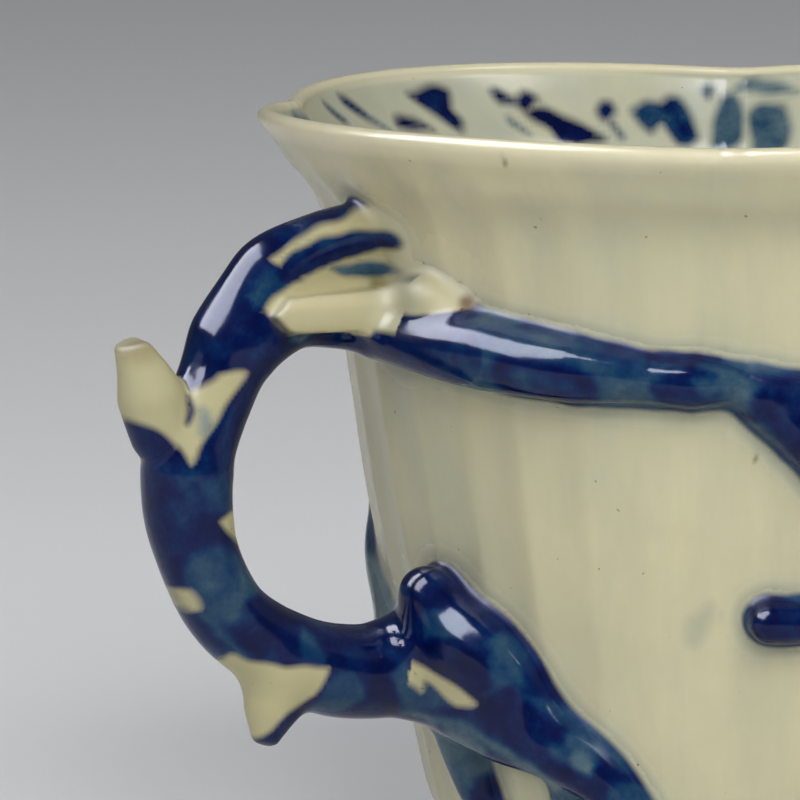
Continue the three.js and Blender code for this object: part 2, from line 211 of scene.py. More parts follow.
def turn_of(points):
    return np.degrees(np.arctan2(-points[..., 1], -points[..., 0]))


def wall_dip(turn, height):
    """How much lower the wall hangs under the notches of its mouth."""
    return NOTCH_DIP * (1 - lobe(turn)) * smoothstep(height, WAIST_HEIGHT, CUP_HEIGHT)


def lip_inset(height):
    return LIP_INSET * smoothstep(height, THROAT, CUP_HEIGHT - LIP)


def wall_field(points):
    """About the distance outwards from the outer wall's surface."""
    turn = turn_of(points)
    height = points[..., 2] + wall_dip(turn, points[..., 2])
    lean = wall_radius(height + 0.5) - wall_radius(height - 0.5)
    away = np.hypot(points[..., 0], points[..., 1]) - outer_radius(turn, height) + lip_inset(height)
    return away / np.sqrt(1 + lean**2)


# Branches, as paths with girths

def curve_3d(points, per_span=14):
    """A smooth centripetal curve through points, with per_span steps between neighbours."""
    points = np.array(points, float)
    ends = np.vstack([2 * points[0] - points[1], points, 2 * points[-1] - points[-2]])
    made = []
    for p0, p1, p2, p3 in zip(ends, ends[1:], ends[2:], ends[3:]):
        d0, d1, d2 = (math.sqrt(np.linalg.norm(b - a)) for a, b in ((p0, p1), (p1, p2), (p2, p3)))
        v1 = ((p1 - p0) / d0 - (p2 - p0) / (d0 + d1) + (p2 - p1) / d1) * d1
        v2 = ((p2 - p1) / d1 - (p3 - p1) / (d1 + d2) + (p3 - p2) / d2) * d1
        t = np.arange(per_span)[:, None] / per_span
        made.append(hermite(p1, p2, v1, v2, t))
    return np.vstack([*made, points[-1:]])


def in_loop(inward, rise):
    """A point of the handle's middle line, as in the CAD model."""
    x = -WAIST_RADIUS - HANDLE_REACH * (1 - inward)
    return np.array([x, 0, CUP_HEIGHT * lerp(LOWER_ROOT, UPPER_ROOT, rise)])


def wall_path(places):
    return [on_wall(turn, level * CUP_HEIGHT, lift * BRANCH_RADIUS) for turn, level, lift in places]


def in_plane(*places):
    return [in_loop(*place) for place in places]


# Each branch: path, radius, girths along it as shares of that, how widely it blends into the
# pieces before it, slot
BRANCHES = {
    "handle_limb": ([
        on_wall(0, CUP_HEIGHT * LOWER_ROOT, -SINK),
        *in_plane((0.707, 0.015), (0.38, 0.11), (0.185, 0.215), (0.038, 0.41), (0, 0.63),
                  (0.098, 0.81), (0.245, 0.97), (0.495, 1.055), (0.788, 1.035)),
        on_wall(2, CUP_HEIGHT * UPPER_ROOT, -SINK),
    ], HANDLE_RADIUS, [1.15, 1.1, 0.98, 0.94, 0.98, 1.1, 0.97, 0.97, 0.82, 0.76, 0.76],
        1, "cobalt_glaze"),
    "upper_prong": ([
        *in_plane((0.18, 1.02), (0.36, 1.19), (0.641, 1.26)),
        on_wall(1.5, CUP_HEIGHT * PRONG_ROOT, -SINK / 3),
        on_wall(4, CUP_HEIGHT * PRONG_ROOT, -SINK),
    ], PRONG_RADIUS, [0.9, 1, 1, 0.95, 0.95], 2.8, "cobalt_glaze"),
    "thumb_spur": (None, 2.5, [0.95, 1.04, 0.76, 0.5], 0.7, "cream_glaze"),
    "lower_spur": (None, 3.1, [1, 0.72, 0.27, 0.2], 1.4, "cream_glaze"),
    "cut_stub": (None, 0, [], 0.4, "cream_glaze"),
}
# Branches along the wall: blend, slot, and places, each with turn, level, lift and girth
WALL_BRANCHES = {
    "upper_branch_front": (1.6, "cobalt_glaze", [
        (4, 0.738, 0.64, 0.92), (12, 0.732, 0.44, 1), (22, 0.724, 0.36, 1.12),
        (34, 0.711, 0.28, 0.98), (45, 0.701, 0.16, 0.7), (51, 0.698, 0.24, 0.76),
        (58, 0.696, 0.12, 0.52), (68, 0.682, 0.12, 0.56), (82, 0.677, 0.08, 0.56),
        (96, 0.703, 0.08, 0.5), (108, 0.744, 0.08, 0.36)]),
    "upper_knuckle": (1.6, "cream_glaze", [
        (7, 0.783, 0.24, 0.56), (12, 0.786, 0.24, 0.68), (16, 0.776, 0, 0.5)]),
    "turned_branch_front": (1.4, "cobalt_glaze", [
        (61, 0.671, 0.12, 0.64), (67, 0.636, 0.16, 0.88), (73, 0.575, 0.16, 0.84),
        (78, 0.503, 0.12, 0.68), (80, 0.423, 0.08, 0.56), (78, 0.335, 0.04, 0.36)]),
    "bud_twig_front": (0.8, "cobalt_glaze", [
        (79, 0.431, 0.08, 0.44), (73, 0.409, 0.16, 0.44), (67, 0.399, 0.24, 0.64),
        (62.6, 0.399, 0.28, 0.68)]),
    "bud_twig_side": (0.8, "washed_blue_glaze", [
        (90, 0.687, 0.08, 0.44), (95, 0.623, 0.12, 0.44), (99, 0.567, 0.2, 0.6),
        (101, 0.527, 0.2, 0.6)]),
    "lower_branch_front": (1.8, "cobalt_glaze", [
        (2, 0.291, 0.64, 1.24), (9, 0.272, 0.48, 1.32), (17, 0.249, 0.32, 1.24),
        (25, 0.233, 0.24, 1.12), (32, 0.204, 0.16, 0.92), (38, 0.16, 0.12, 0.7),
        (43, 0.112, 0.08, 0.5)]),
    "shoulder_twig_front": (2.4, "cobalt_glaze", [
        (4.5, 0.375, 0.48, 0.88), (10, 0.371, 0.56, 1), (15.5, 0.345, 0.48, 1.04),
        (19.3, 0.31, 0.36, 0.92), (21.5, 0.284, 0.28, 0.76)]),
    "lower_knob": (2.3, "cobalt_glaze", [
        (3.6, 0.4, 0.4, 0.8), (6.2, 0.41, 0.85, 0.84)]),
    "fork_twig_front": (1.0, "cobalt_glaze", [
        (26.5, 0.216, 0.16, 0.6), (26.4, 0.168, 0.12, 0.42), (27, 0.112, 0.08, 0.36)]),
    "lower_branch_down": (1.2, "washed_blue_glaze", [
        (2, 0.264, 0.24, 0.76), (4.5, 0.2, 0.16, 0.76), (6.5, 0.144, 0.08, 0.68),
        (10, 0.099, 0.04, 0.48)]),
    "lower_branch_far": (1.6, "cobalt_glaze", [
        (-3, 0.316, 0.4, 1.16), (-12, 0.319, 0.1, 1.04), (-22, 0.351, -0.3, 0.92),
        (-30, 0.407, -0.26, 0.76), (-38, 0.455, -0.34, 0.72), (-48, 0.535, -0.45, 0.76),
        (-60, 0.615, 0.08, 0.64), (-75, 0.663, 0.08, 0.4)]),
    "bud_twig_far": (0.8, "cobalt_glaze", [
        (-50, 0.543, 0.04, 0.44), (-57, 0.495, 0.16, 0.44), (-63, 0.457, 0.2, 0.6),
        (-67, 0.431, 0.24, 0.64)]),
}
for name, (blend, glaze_slot, places) in WALL_BRANCHES.items():
    BRANCHES[name] = (wall_path([place[:3] for place in places]), BRANCH_RADIUS,
                      [place[3] for place in places], blend, glaze_slot)
NAMES = list(BRANCHES)
BARE_PIECES = ["thumb_spur", "lower_spur", "cut_stub", "upper_knuckle"]


def knife_cut(point, away):
    """A flat cut through a point: what lies on the away side falls off."""
    away = np.array(away, float)
    return np.array(point, float), away / np.linalg.norm(away)


def spur(base, reach, cut_from, cut_normal):
    """Path and cuts of a pruned twig."""
    reach = np.array(reach, float)
    tip = base + reach
    return ([base, base + reach / 2, tip, tip + reach],
            [knife_cut(base + np.array(cut_from), cut_normal), knife_cut(tip + 0.3 * reach, reach)])


STUB_MIDDLE = in_loop(0.6, 1.07)
STUB_LENGTH = 11.2
STUB_HEIGHT = 3.3
STUB_FACE = 4.5                 # how far the cut face stands in front of the handle's middle plane
STUB_BACK = 1.4                 # how far in front of that plane its back is, in the handle
STUB_RIDGE = 0.7                # how far the ridge between its facets is above its middle
STUB_FACETS = (0.6, 0.16)       # how steeply the facets fall away above and below the ridge
STUB_TAPER = 0.78               # its height at the left end, as a share of that at the right
STUB_POINTS = 1.1               # how much its two ends draw in, for each mm of height
THUMB_PATH, THUMB_CUTS = spur(in_loop(-0.124, 0.745), (-1.7, 0, 5.6),
                              (-1.1, 0, 6.9), (0.72, -0.12, 0.7))
SPUR_PATH, SPUR_CUTS = spur(in_loop(0.446, 0.05), np.array([-0.24, 0, -1]) * 6.2,
                            (-1.2, 0, -6.3), (-0.4, -0.2, -1))
CUTS = {"thumb_spur": THUMB_CUTS, "lower_spur": SPUR_CUTS}
BRANCHES["thumb_spur"] = (THUMB_PATH, *BRANCHES["thumb_spur"][1:])
BRANCHES["lower_spur"] = (SPUR_PATH, *BRANCHES["lower_spur"][1:])


def blended(a, b, reach):
    """The union of two fields, filled between them over reach."""
    fill = np.maximum(reach - np.abs(a - b), 0) / reach
    return np.minimum(a, b) - fill * fill * reach / 4


def softly_cut(a, b, reach):
    """The overlap of two fields, its edge rounded over reach."""
    return -blended(-a, -b, reach)


# The field on a grid

class Grid:
    """A box of points, VOXEL apart, that holds every branch."""

    def __init__(self, low, high):
        self.low = np.floor(np.array(low) / VOXEL) * VOXEL
        self.shape = tuple(np.ceil((np.array(high) - self.low) / VOXEL).astype(int) + 1)

    def span(self, low, high):
        """Index ranges of the points between two corners."""
        first = np.maximum(np.floor((low - self.low) / VOXEL).astype(int), 0)
        last = np.minimum(np.ceil((high - self.low) / VOXEL).astype(int) + 1, self.shape)
        return tuple(slice(a, b) for a, b in zip(first, last))

    def points(self, span):
        axes = [self.low[k] + VOXEL * np.arange(s.start, s.stop) for k, s in enumerate(span)]
        return np.stack(np.meshgrid(*axes, indexing="ij"), -1)


def path_samples(name):
    path, scale, girths = BRANCHES[name][:3]
    centres = curve_3d(path)
    radii = np.interp(np.linspace(0, len(path) - 1, len(centres)), np.arange(len(girths)), girths)
    return centres, radii * scale


# Clay and glaze that fill the crotch between two branches: a path, its radius and how it blends in
WEBS = {
    "cut_stub": ([(-39.6, 0.4, 51.1), (-36, 0.1, 51.3), (-31.5, -0.6, 51.6)], 1.9, 1.4),
    "shoulder_twig_front": (wall_path([
        (-1, 0.33, 1.1), (6, 0.345, 1.0), (12, 0.337, 0.75), (18, 0.305, 0.4)]), 2.5, 2.0),
}


def with_web(name, field, points):
    if name not in WEBS:
        return field
    path, radius, blend = WEBS[name]
    return blended(field, tube_field(points, np.array(path, float), [radius] * len(path)), blend)


def from_line(points, a, b):
    """(distance of points from the line between two ends, how far along it they are)."""
    offset, line = points - a, b - a
    share = np.clip(offset @ line / (line @ line), 0, 1)
    return np.linalg.norm(offset - share[..., None] * line, axis=-1), share


def tube_field(points, centres, radii):
    """Distance from a row of cones with round ends."""
    field = np.full(points.shape[:-1], np.inf)
    for a, b, ra, rb in zip(centres, centres[1:], radii, radii[1:]):
        away, share = from_line(points, a, b)
        field = np.minimum(field, away - lerp(ra, rb, share))
    return field


def stub_field(points):
    """The cut stub: a blunt lozenge, wider to the right, whose face has two facets."""
    x, y, z = (points[..., k] - STUB_MIDDLE[k] for k in range(3))
    half = STUB_LENGTH / 2
    rise = STUB_HEIGHT / 2 * lerp(STUB_TAPER, 1.0, np.clip(x / STUB_LENGTH + 0.5, 0, 1))
    ends = (np.abs(x) + STUB_POINTS * np.abs(z) - half) / math.hypot(1, STUB_POINTS)
    steep, shallow = STUB_FACETS
    upper = (-y - STUB_FACE + steep * (z - STUB_RIDGE)) / math.hypot(1, steep)
    lower = (-y - STUB_FACE - shallow * (z - STUB_RIDGE)) / math.hypot(1, shallow)
    lozenge = softly_cut(np.abs(z) - rise, ends, 0.2)
    front = softly_cut(lozenge, softly_cut(upper, lower, 0.2), 0.28)
    return softly_cut(front, y + STUB_BACK, 0.3)


def piece_field(name, grid):
    """(the span of the grid that a branch reaches, its field there)."""
    if name == "cut_stub":
        reach = np.array([STUB_LENGTH, 0, STUB_HEIGHT]) + BAND
        span = grid.span(STUB_MIDDLE - reach - [0, STUB_FACE, 0], STUB_MIDDLE + reach)
        points = grid.points(span)
        return span, with_web(name, stub_field(points), points).astype(np.float32)
    centres, radii = path_samples(name)
    margin = radii.max() + BAND
    whole = grid.span(centres.min(0) - margin, centres.max(0) + margin)
    field = np.full([s.stop - s.start for s in whole], BAND + 1, np.float32)
    for (a, ra), (b, rb) in zip(zip(centres, radii), zip(centres[1:], radii[1:])):
        reach = max(ra, rb) + BAND
        span = grid.span(np.minimum(a, b) - reach, np.maximum(a, b) + reach)
        away, share = from_line(grid.points(span), a, b)
        inside = tuple(slice(s.start - w.start, s.stop - w.start) for s, w in zip(span, whole))
        field[inside] = np.minimum(field[inside], away - lerp(ra, rb, share))
    for point, away in CUTS.get(name, []):
        field = softly_cut(field, (grid.points(whole) - point) @ away, KNIFE_SOFTNESS)
    return whole, with_web(name, field, grid.points(whole)).astype(np.float32)


def gnarl(points):
    """Slow unevenness of hand-rolled branches."""
    x, y, z = (points[..., k] for k in range(3))
    return GNARL * np.sin(0.45 * x + 0.6 * z) * np.cos(0.5 * y - 0.35 * z + 1)


def all_branches():
    """(grid, blended branches, nearest branch, distance from painted ones, from bare ones)."""
    ends = [path_samples(n)[0] for n in NAMES if n != "cut_stub"]
    low = np.min([e.min(0) for e in ends], 0) - HANDLE_RADIUS - BAND
    high = np.max([e.max(0) for e in ends], 0) + HANDLE_RADIUS + BAND
    grid = Grid(low, high)
    field = np.full(grid.shape, BAND + 1, np.float32)
    nearest = np.full(grid.shape, -1, np.int8)
    least = field.copy()
    painted, bare = field.copy(), field.copy()
    for index, name in enumerate(NAMES):
        span, own = piece_field(name, grid)
        nearer = own < least[span]
        nearest[span][nearer] = index
        least[span] = np.minimum(least[span], own)
        kind = bare if name in BARE_PIECES else painted
        kind[span] = np.minimum(kind[span], own)
        field[span] = blended(field[span], own, BRANCHES[name][3])
    return grid, field, nearest, painted, bare


def neighbours(axis):
    """Slices that pair each point of a grid with the one behind it along an axis."""
    ahead, behind = [slice(None)] * 3, [slice(None)] * 3
    ahead[axis], behind[axis] = slice(1, None), slice(0, -1)
    return tuple(ahead), tuple(behind)


def labelled_net(grid, field, labels):
    """Points, faces, and each face's label, of the surfaces between unlike labels on a grid.

    Label -1 is outside, where the field is above 0. Faces look away from their label and close it,
    and a face between two labels is made for both. Also says which points and faces lie outside.
    """
    corners = [(i, j, k) for i in (0, 1) for j in (0, 1) for k in (0, 1)]
    cut = [tuple(slice(c, c - 1 or None) for c in corner) for corner in corners]
    lowest = np.minimum.reduce([labels[c] for c in cut])
    cells = np.argwhere(lowest != np.maximum.reduce([labels[c] for c in cut]))
    number = np.full(lowest.shape, -1, np.int32)
    number[tuple(cells.T)] = np.arange(len(cells))
    values = np.stack([field[tuple((cells + corner).T)] for corner in corners], 1)
    tags = np.stack([labels[tuple((cells + corner).T)] for corner in corners], 1)
    outer = (tags < 0).any(1)
    total, crossings = np.zeros((len(cells), 3)), np.zeros(len(cells))
    for a, first in enumerate(corners):
        for b, second in enumerate(corners):
            if a < b and sum(abs(p - q) for p, q in zip(first, second)) == 1:
                leaving = (tags[:, a] < 0) != (tags[:, b] < 0)
                crossed = np.where(outer, leaving, tags[:, a] != tags[:, b])
                rise = np.where(leaving, values[:, a] - values[:, b], 1)
                share = np.where(leaving, values[:, a] / rise, 0.5)[crossed]
                step = np.array(second) - np.array(first)
                total[crossed] += np.array(first) + share[:, None] * step
                crossings[crossed] += 1
    points = grid.low + VOXEL * (cells + total / crossings[:, None])
    faces, owners, shown = [], [], []
    for axis in range(3):
        across, up = [(axis + k) % 3 for k in (1, 2)]
        ahead, behind = neighbours(axis)
        before, after = labels[behind], labels[ahead]
        edges = np.argwhere(before != after)
        before, after = before[tuple(edges.T)], after[tuple(edges.T)]
        around_edge = []
        for da, du in ((0, 0), (-1, 0), (-1, -1), (0, -1)):
            cell = edges.copy()
            cell[:, across] += da
            cell[:, up] += du
            around_edge.append(number[tuple(cell.T)])
        quads = np.stack(around_edge, 1)
        open_air = (before < 0) | (after < 0)
        for side, turned in ((before, quads), (after, quads[:, ::-1])):
            faces.append(turned[side >= 0])
            owners.append(side[side >= 0])
            shown.append(open_air[side >= 0])
    return points, np.vstack(faces), np.concatenate(owners), outer, np.concatenate(shown)


def evened(labels, rounds=2):
    """Labels inside the solid, with the ragged borders between them drawn straighter."""
    steps = [(i, j, k) for i in (-1, 0, 1) for j in (-1, 0, 1) for k in (-1, 0, 1)]
    for _ in range(rounds):
        border = np.zeros(labels.shape, bool)
        for axis in range(3):
            ahead, behind = neighbours(axis)
            meet = (labels[ahead] != labels[behind]) & (labels[ahead] >= 0) & (labels[behind] >= 0)
            border[ahead] |= meet
            border[behind] |= meet
        nodes = np.argwhere(border)
        close_by = np.stack([labels[tuple((nodes + step).T)] for step in steps], 1)
        votes = np.stack([(close_by == index).sum(1) for index in range(len(NAMES))], 1)
        labels[tuple(nodes.T)] = votes.argmax(1)
    return labels


def relaxed(points, faces, held, rounds=6):
    """Points of which those not held are drawn to the middle of their neighbours."""
    a, b = np.sort(np.stack([faces, np.roll(faces, -1, axis=1)], -1).reshape(-1, 2), axis=1).T
    ends, others = np.concatenate([a, b]), np.concatenate([b, a])
    count = np.maximum(np.bincount(ends, minlength=len(points)), 1)
    for _ in range(rounds):
        middle = [np.bincount(ends, points[others, k], len(points)) / count for k in range(3)]
        points = np.where(held[:, None], points, np.stack(middle, 1))
    return points


def sampled(field, points):
    """The grid's field at any points, straight between its own."""
    place = (points - GRID.low) / VOXEL
    cell = np.clip(np.floor(place).astype(int), 0, np.array(GRID.shape) - 2)
    t = place - cell
    value = 0
    for i in (0, 1):
        for j in (0, 1):
            for k in (0, 1):
                share = np.abs(1 - i - t[:, 0]) * np.abs(1 - j - t[:, 1]) * np.abs(1 - k - t[:, 2])
                value = value + share * field[cell[:, 0] + i, cell[:, 1] + j, cell[:, 2] + k]
    return value


def slope(field, points):
    """The direction in which the grid's field rises."""
    steps = np.eye(3) * VOXEL
    rise = np.stack([sampled(field, points + s) - sampled(field, points - s) for s in steps], 1)
    return rise / np.maximum(np.linalg.norm(rise, axis=1, keepdims=True), 1e-9)


def branch_surface():
    """Points, normals, faces, each face's branch and whether it shows, of all the branches."""
    near = np.argwhere(ALL_BRANCHES < BAND)
    where = tuple(near.T)
    places = GRID.low + VOXEL * near
    branches = ALL_BRANCHES.copy()
    branches[where] += gnarl(places)
    wall, skin = (np.full(GRID.shape, BAND + 1, np.float32) for _ in range(2))
    wall[where] = wall_field(places)
    skin[where] = blended(wall[where], branches[where], GLAZE_FILLET)
    solid = skin.copy()
    solid[where] = np.maximum.reduce([
        skin[where], -ROOT_DEPTH - wall[where], FEATHER - (wall[where] - skin[where])])
    labels = evened(np.where(solid < 0, NEAREST, -1))
    points, faces, owner, outer, shown = labelled_net(GRID, solid, labels)
    points = relaxed(points, faces[~shown], outer)
    shallow = outer & (np.abs(sampled(skin, points)) < 0.8 * VOXEL)
    for _ in range(2):
        points[shallow] -= sampled(skin, points[shallow])[:, None] * slope(skin, points[shallow])
    sunk = np.maximum(3 * FEATHER - wall_field(points[shallow]), 0)
    normals = slope(solid, points)
    normals[shallow] = slope(skin, points[shallow])
    points[shallow] -= sunk[:, None] * normals[shallow]
    rise = np.maximum(sampled(skin, points[~outer]) + INNER_DEPTH, 0)
    points[~outer] -= rise[:, None] * slope(skin, points[~outer])
    return points, normals, faces, owner, shown


# Paint

# Cobalt washes, some of them painted shade, highlight or reflection: strength (0 leaves the glaze
# bare), an outline, and the softness of its edge in mm where that is more than SOFTEST. On the
# handle an outline is in (x, height), on the wall and inside it in (turn, height).
HANDLE_WASHES = {
    "teal_bend": (0.7, [(-45.8, 49.6), (-44, 51.8), (-41.3, 51.8), (-43, 49.3), (-45, 48.3)]),
    # bare cream along the prong's top, partly standing in as a painted highlight
    "bare_prong_top_and_highlight": (0, [
        (-43.8, 52.3), (-41.8, 53.5), (-39.8, 54.5), (-37, 55.2), (-35, 56.2), (-33, 56.7), (-27, 57),
        (-27, 50), (-33, 49.8), (-38, 50.2), (-40.6, 50.6), (-42, 51.6)]),
    "prong_band": (0.78, [
        (-43.4, 51.6), (-42, 52.8), (-39.6, 53.7), (-36.6, 54.2), (-34.4, 54.2), (-33.4, 53.6),
        (-33.4, 52.9), (-34.8, 52.6), (-38.2, 51.7), (-41, 50.9), (-43, 50.7)]),
    "prong_band_dark": (1.05, [
        (-43, 51.6), (-40.6, 52.7), (-37.6, 53.1), (-34.6, 53.5), (-33.6, 53.2), (-33.6, 52.8),
        (-34.8, 52.6), (-38.2, 51.7), (-41, 50.9), (-43, 50.7)]),
    # painted shade in the web under the prong
    "prong_painted_shade": (0.5, [
        (-38.4, 51.3), (-37, 51.6), (-34, 51.7), (-33.2, 51), (-34, 50.4), (-36.4, 50.4)]),
    "limb_high": (1.1, [
        (-46.5, 47.5), (-44.8, 48.9), (-43.5, 48.7), (-42.2, 46.7), (-45.8, 44.8), (-47.6, 44.1),
        (-48.5, 44.6)]),
    "bare_fork": (0, [
        (-50.8, 42.7), (-49.2, 43.4), (-48.4, 44), (-46.4, 43.9), (-48.4, 41.5), (-49.8, 39.6),
        (-50.7, 38.4), (-51.5, 37.2), (-52.2, 38.8), (-54.4, 40.6), (-57.5, 42.4), (-57.5, 45.8),
        (-56.2, 46.9), (-51.4, 46.6)]),
    "under_spur": (1, [
        (-58, 41.2), (-56.2, 41), (-54.4, 40.2), (-53.4, 39.6), (-52.3, 38.6), (-51.9, 37), (-52.4, 35),
        (-58, 35)]),
    # a dark hole painted into the crotch: painted shadow; then grey painted shade in the fork below it
    "fork_pit_shadow": (1.2, [(-51, 42.3), (-50.7, 42.3), (-50.7, 41.2), (-51.2, 40.1), (-51.5, 40.3)]),
    "fork_painted_shade": (0.12, [
        (-50.2, 41.2), (-49.8, 41.1), (-49.7, 40), (-50.3, 39.3), (-50.6, 39.6)], 0.8),
    "bare_round_stub": (0, [
        (-44.8, 48.6), (-43.9, 49.5), (-42.3, 50.3), (-39.9, 50.7), (-33.5, 50.3), (-31, 49.5),
        (-31, 47.6), (-35.4, 46.6), (-40.4, 46.8), (-42.7, 46.8), (-44, 47.6)]),
    "under_stub": (0.3, [(-42.2, 46.5), (-40.2, 46.6), (-41.1, 45.8), (-42.4, 46)]),
    "wash_high": (0.78, [
        (-50.6, 35.9), (-48.3, 35.9), (-47.3, 34.1), (-48.7, 33.3), (-50.2, 33.5)], 0.5),
    "wash_low": (0.62, [
        (-51.5, 28.8), (-51, 30.3), (-49, 30.9), (-46.2, 29.5), (-44.6, 27.2), (-47.2, 24.6),
        (-49.5, 25)], 0.6),
    "bare_chip": (0, [(-49, 32.6), (-47.2, 33.2), (-46, 32), (-45.9, 30.2), (-47.2, 31)]),
    "light_strip": (0.55, [(-50, 25.6), (-48.8, 24.8), (-46, 21.7), (-47, 22), (-49.7, 24.6)]),
    "bare_spot": (0, [(-51.6, 27.2), (-50.8, 27.3), (-49.9, 25.7), (-50.7, 25.5)]),
    "patch_low": (1.15, [
        (-46.8, 26), (-44.7, 26.4), (-42.3, 25.4), (-41.4, 23.8), (-42.2, 21.9), (-46.1, 22.1),
        (-47.2, 23.5)]),
    "edge_strip": (0.85, [(-50.9, 25.8), (-47.8, 22.6), (-46.1, 20.8), (-47.7, 20.8), (-51.4, 24.9)]),
    "wash_after_bend": (0.7, [(-42.1, 21.9), (-41.4, 23.8), (-39.5, 21.2), (-41.8, 21)]),
    "bare_spur": (0, [
        (-47.5, 21.7), (-46, 21.5), (-43.3, 20.9), (-39.5, 20.5), (-40.7, 18.2), (-42.6, 17),
        (-43.4, 15.5), (-44.7, 14.6), (-47, 14.6)]),
    "spur_stripe": (1.0, [
        (-44.3, 13.4), (-44.3, 14.8), (-43.3, 15.7), (-42.5, 17), (-40.4, 18.3), (-38.6, 17.2),
        (-40.6, 13.4)]),
    "under_bend": (0.6, [(-39.7, 19.2), (-37.2, 20.1), (-36.1, 17.7), (-40, 16.1)]),
    "dark_low": (1.1, [(-37.2, 20.5), (-34.7, 21.1), (-33.5, 19.6), (-33.3, 16.7), (-35.4, 17.6)]),
    "slate_root": (0.6, [(-34.2, 19.6), (-32.5, 20.1), (-30.6, 18.8), (-30.1, 17.2), (-32.2, 16.4)]),
}
WALL_WASHES = {
    "bare_root": (0, [
        (5.8, 20.1), (5.4, 21.6), (7.7, 20.5), (12.8, 19.2), (17.3, 17.7), (13.6, 17.2), (10.4, 18.2),
        (8.5, 18.9), (7.4, 18)]),
    "knob": (1.1, [(-6.3, 26.3), (10.4, 28.3), (13.7, 26), (11.7, 24.8), (-10.3, 24.8)]),
    "shoulder_dark": (1.15, [
        (5, 21.7), (14.8, 22.9), (17.8, 22.6), (19.6, 20.8), (19.5, 18.9), (13.9, 19.1), (7.7, 20.7)]),
    "shoulder_light": (0.55, [(19.2, 23.1), (21.1, 22.6), (23.6, 20.6), (23.9, 19.6), (21.2, 19.2)]),
    "lower_dark": (1.1, [
        (18.5, 18.1), (22.8, 19.3), (25.4, 17.3), (29.6, 16.1), (29.6, 14.9), (19.2, 16.6)]),
    "lower_light": (0.72, [
        (24.6, 18.3), (28.5, 17.7), (33.4, 16.5), (37.2, 14.5), (39.9, 12.4), (31.4, 15.7),
        (27, 16.9)]),
    "lower_ring": (0.35, [(31.1, 14), (33, 14.4), (34.9, 13.4), (34.2, 12.6), (31.7, 13)]),
    "down_branch": (0.42, [
        (-13.7, 12.7), (11.2, 15.2), (17.8, 14), (9, 11.1), (7.2, 9.9), (-11.7, 11.4)]),
    "upper_base": (0.66, [
        (9.6, 47.5), (23.8, 47.6), (34.8, 46.9), (47.4, 45.1), (59.5, 44), (59.5, 42), (47.6, 41),
        (33.9, 40.8), (21.4, 41.5), (15.3, 43), (6.9, 45)], 0.6),
    "upper_pale": (0.5, [(39.1, 44), (46, 44.1), (46.1, 41.3), (39.4, 41.2), (37.6, 42.7)], 0.5),
    "upper_under": (0.45, [
        (2.9, 45.1), (10.9, 45.5), (19.9, 44.6), (25.1, 43.3), (23.2, 41.5), (4.3, 42.3),
        (-12.9, 42.7)]),
    "upper_top": (0.78, [(30.6, 47.8), (36.2, 47.2), (42.6, 46.2), (47, 45.1), (44, 44.4), (36.1, 46)]),
    "knot": (1.05, [
        (25.6, 44.6), (27.6, 45.7), (31.6, 45.6), (36, 45), (39.1, 43.9), (38.7, 42.6), (34.8, 41.7),
        (29.6, 41.5), (26.4, 42.8)]),
    "knot_heart": (0.74, [
        (28, 44.4), (30, 44.8), (33.6, 44.5), (36.6, 43.8), (36.4, 43.1), (32.7, 42.8), (29.3, 43.2)]),
    "first_stroke": (1.05, [(8.6, 46.3), (12.6, 46.8), (19.6, 45.7), (19.3, 45), (9.2, 45.6)]),
    "second_pale": (0.52, [(52, 45.4), (56.7, 44.9), (59.9, 43.8), (59.5, 41.8), (52, 41.6)], 0.5),
    "second_knot": (0.98, [
        (46, 43.6), (47.8, 44.8), (51.1, 45.1), (54.2, 44.6), (55.4, 43.6), (54, 42.4), (51, 41.7),
        (47.5, 42.1)]),
    "second_heart": (0.55, [(51.2, 44.1), (53.1, 44.4), (55.8, 44.1), (56, 43.2), (53.1, 42.8)]),
    "turned_dark": (1.02, [
        (59, 42.4), (60.3, 43.5), (62, 44.2), (76, 45), (85, 37), (85, 20), (74, 20), (70, 33),
        (65.6, 37.6), (63, 39.5), (60.6, 41.3)]),
    # a pale band along the lower branch's underside: painted reflection of the floor
    "underside_reflection": (0.42, [
        (4, 16.4), (14, 16.2), (20, 14.8), (26, 13), (30, 10.2), (28, 9.5), (24, 11.5), (19.8, 13.5),
        (13.7, 15), (4.8, 15.5)]),
    "far_teal": (0.62, [(-50, 36), (-22, 33), (-22, 26), (-28, 25), (-50, 27)], 0.5),
    # a paler wash on the far branch's underside: painted reflection of the floor
    "far_underside_reflection": (0.24, [(-34, 25.8), (-18, 25.6), (-10, 24.6), (-10, 18), (-34, 18)], 0.5),
}
SMUDGE = (0.13, [(48.9, 23.2), (49.9, 25.3), (53.7, 26.5), (54.1, 24.9), (51.2, 22.7)], 1.0)
SMUDGE_COVER = 0.32
POOL_AND_SHADE_INSIDE = 0.8               # painted shade inside the mouth, whose glaze is also cooler
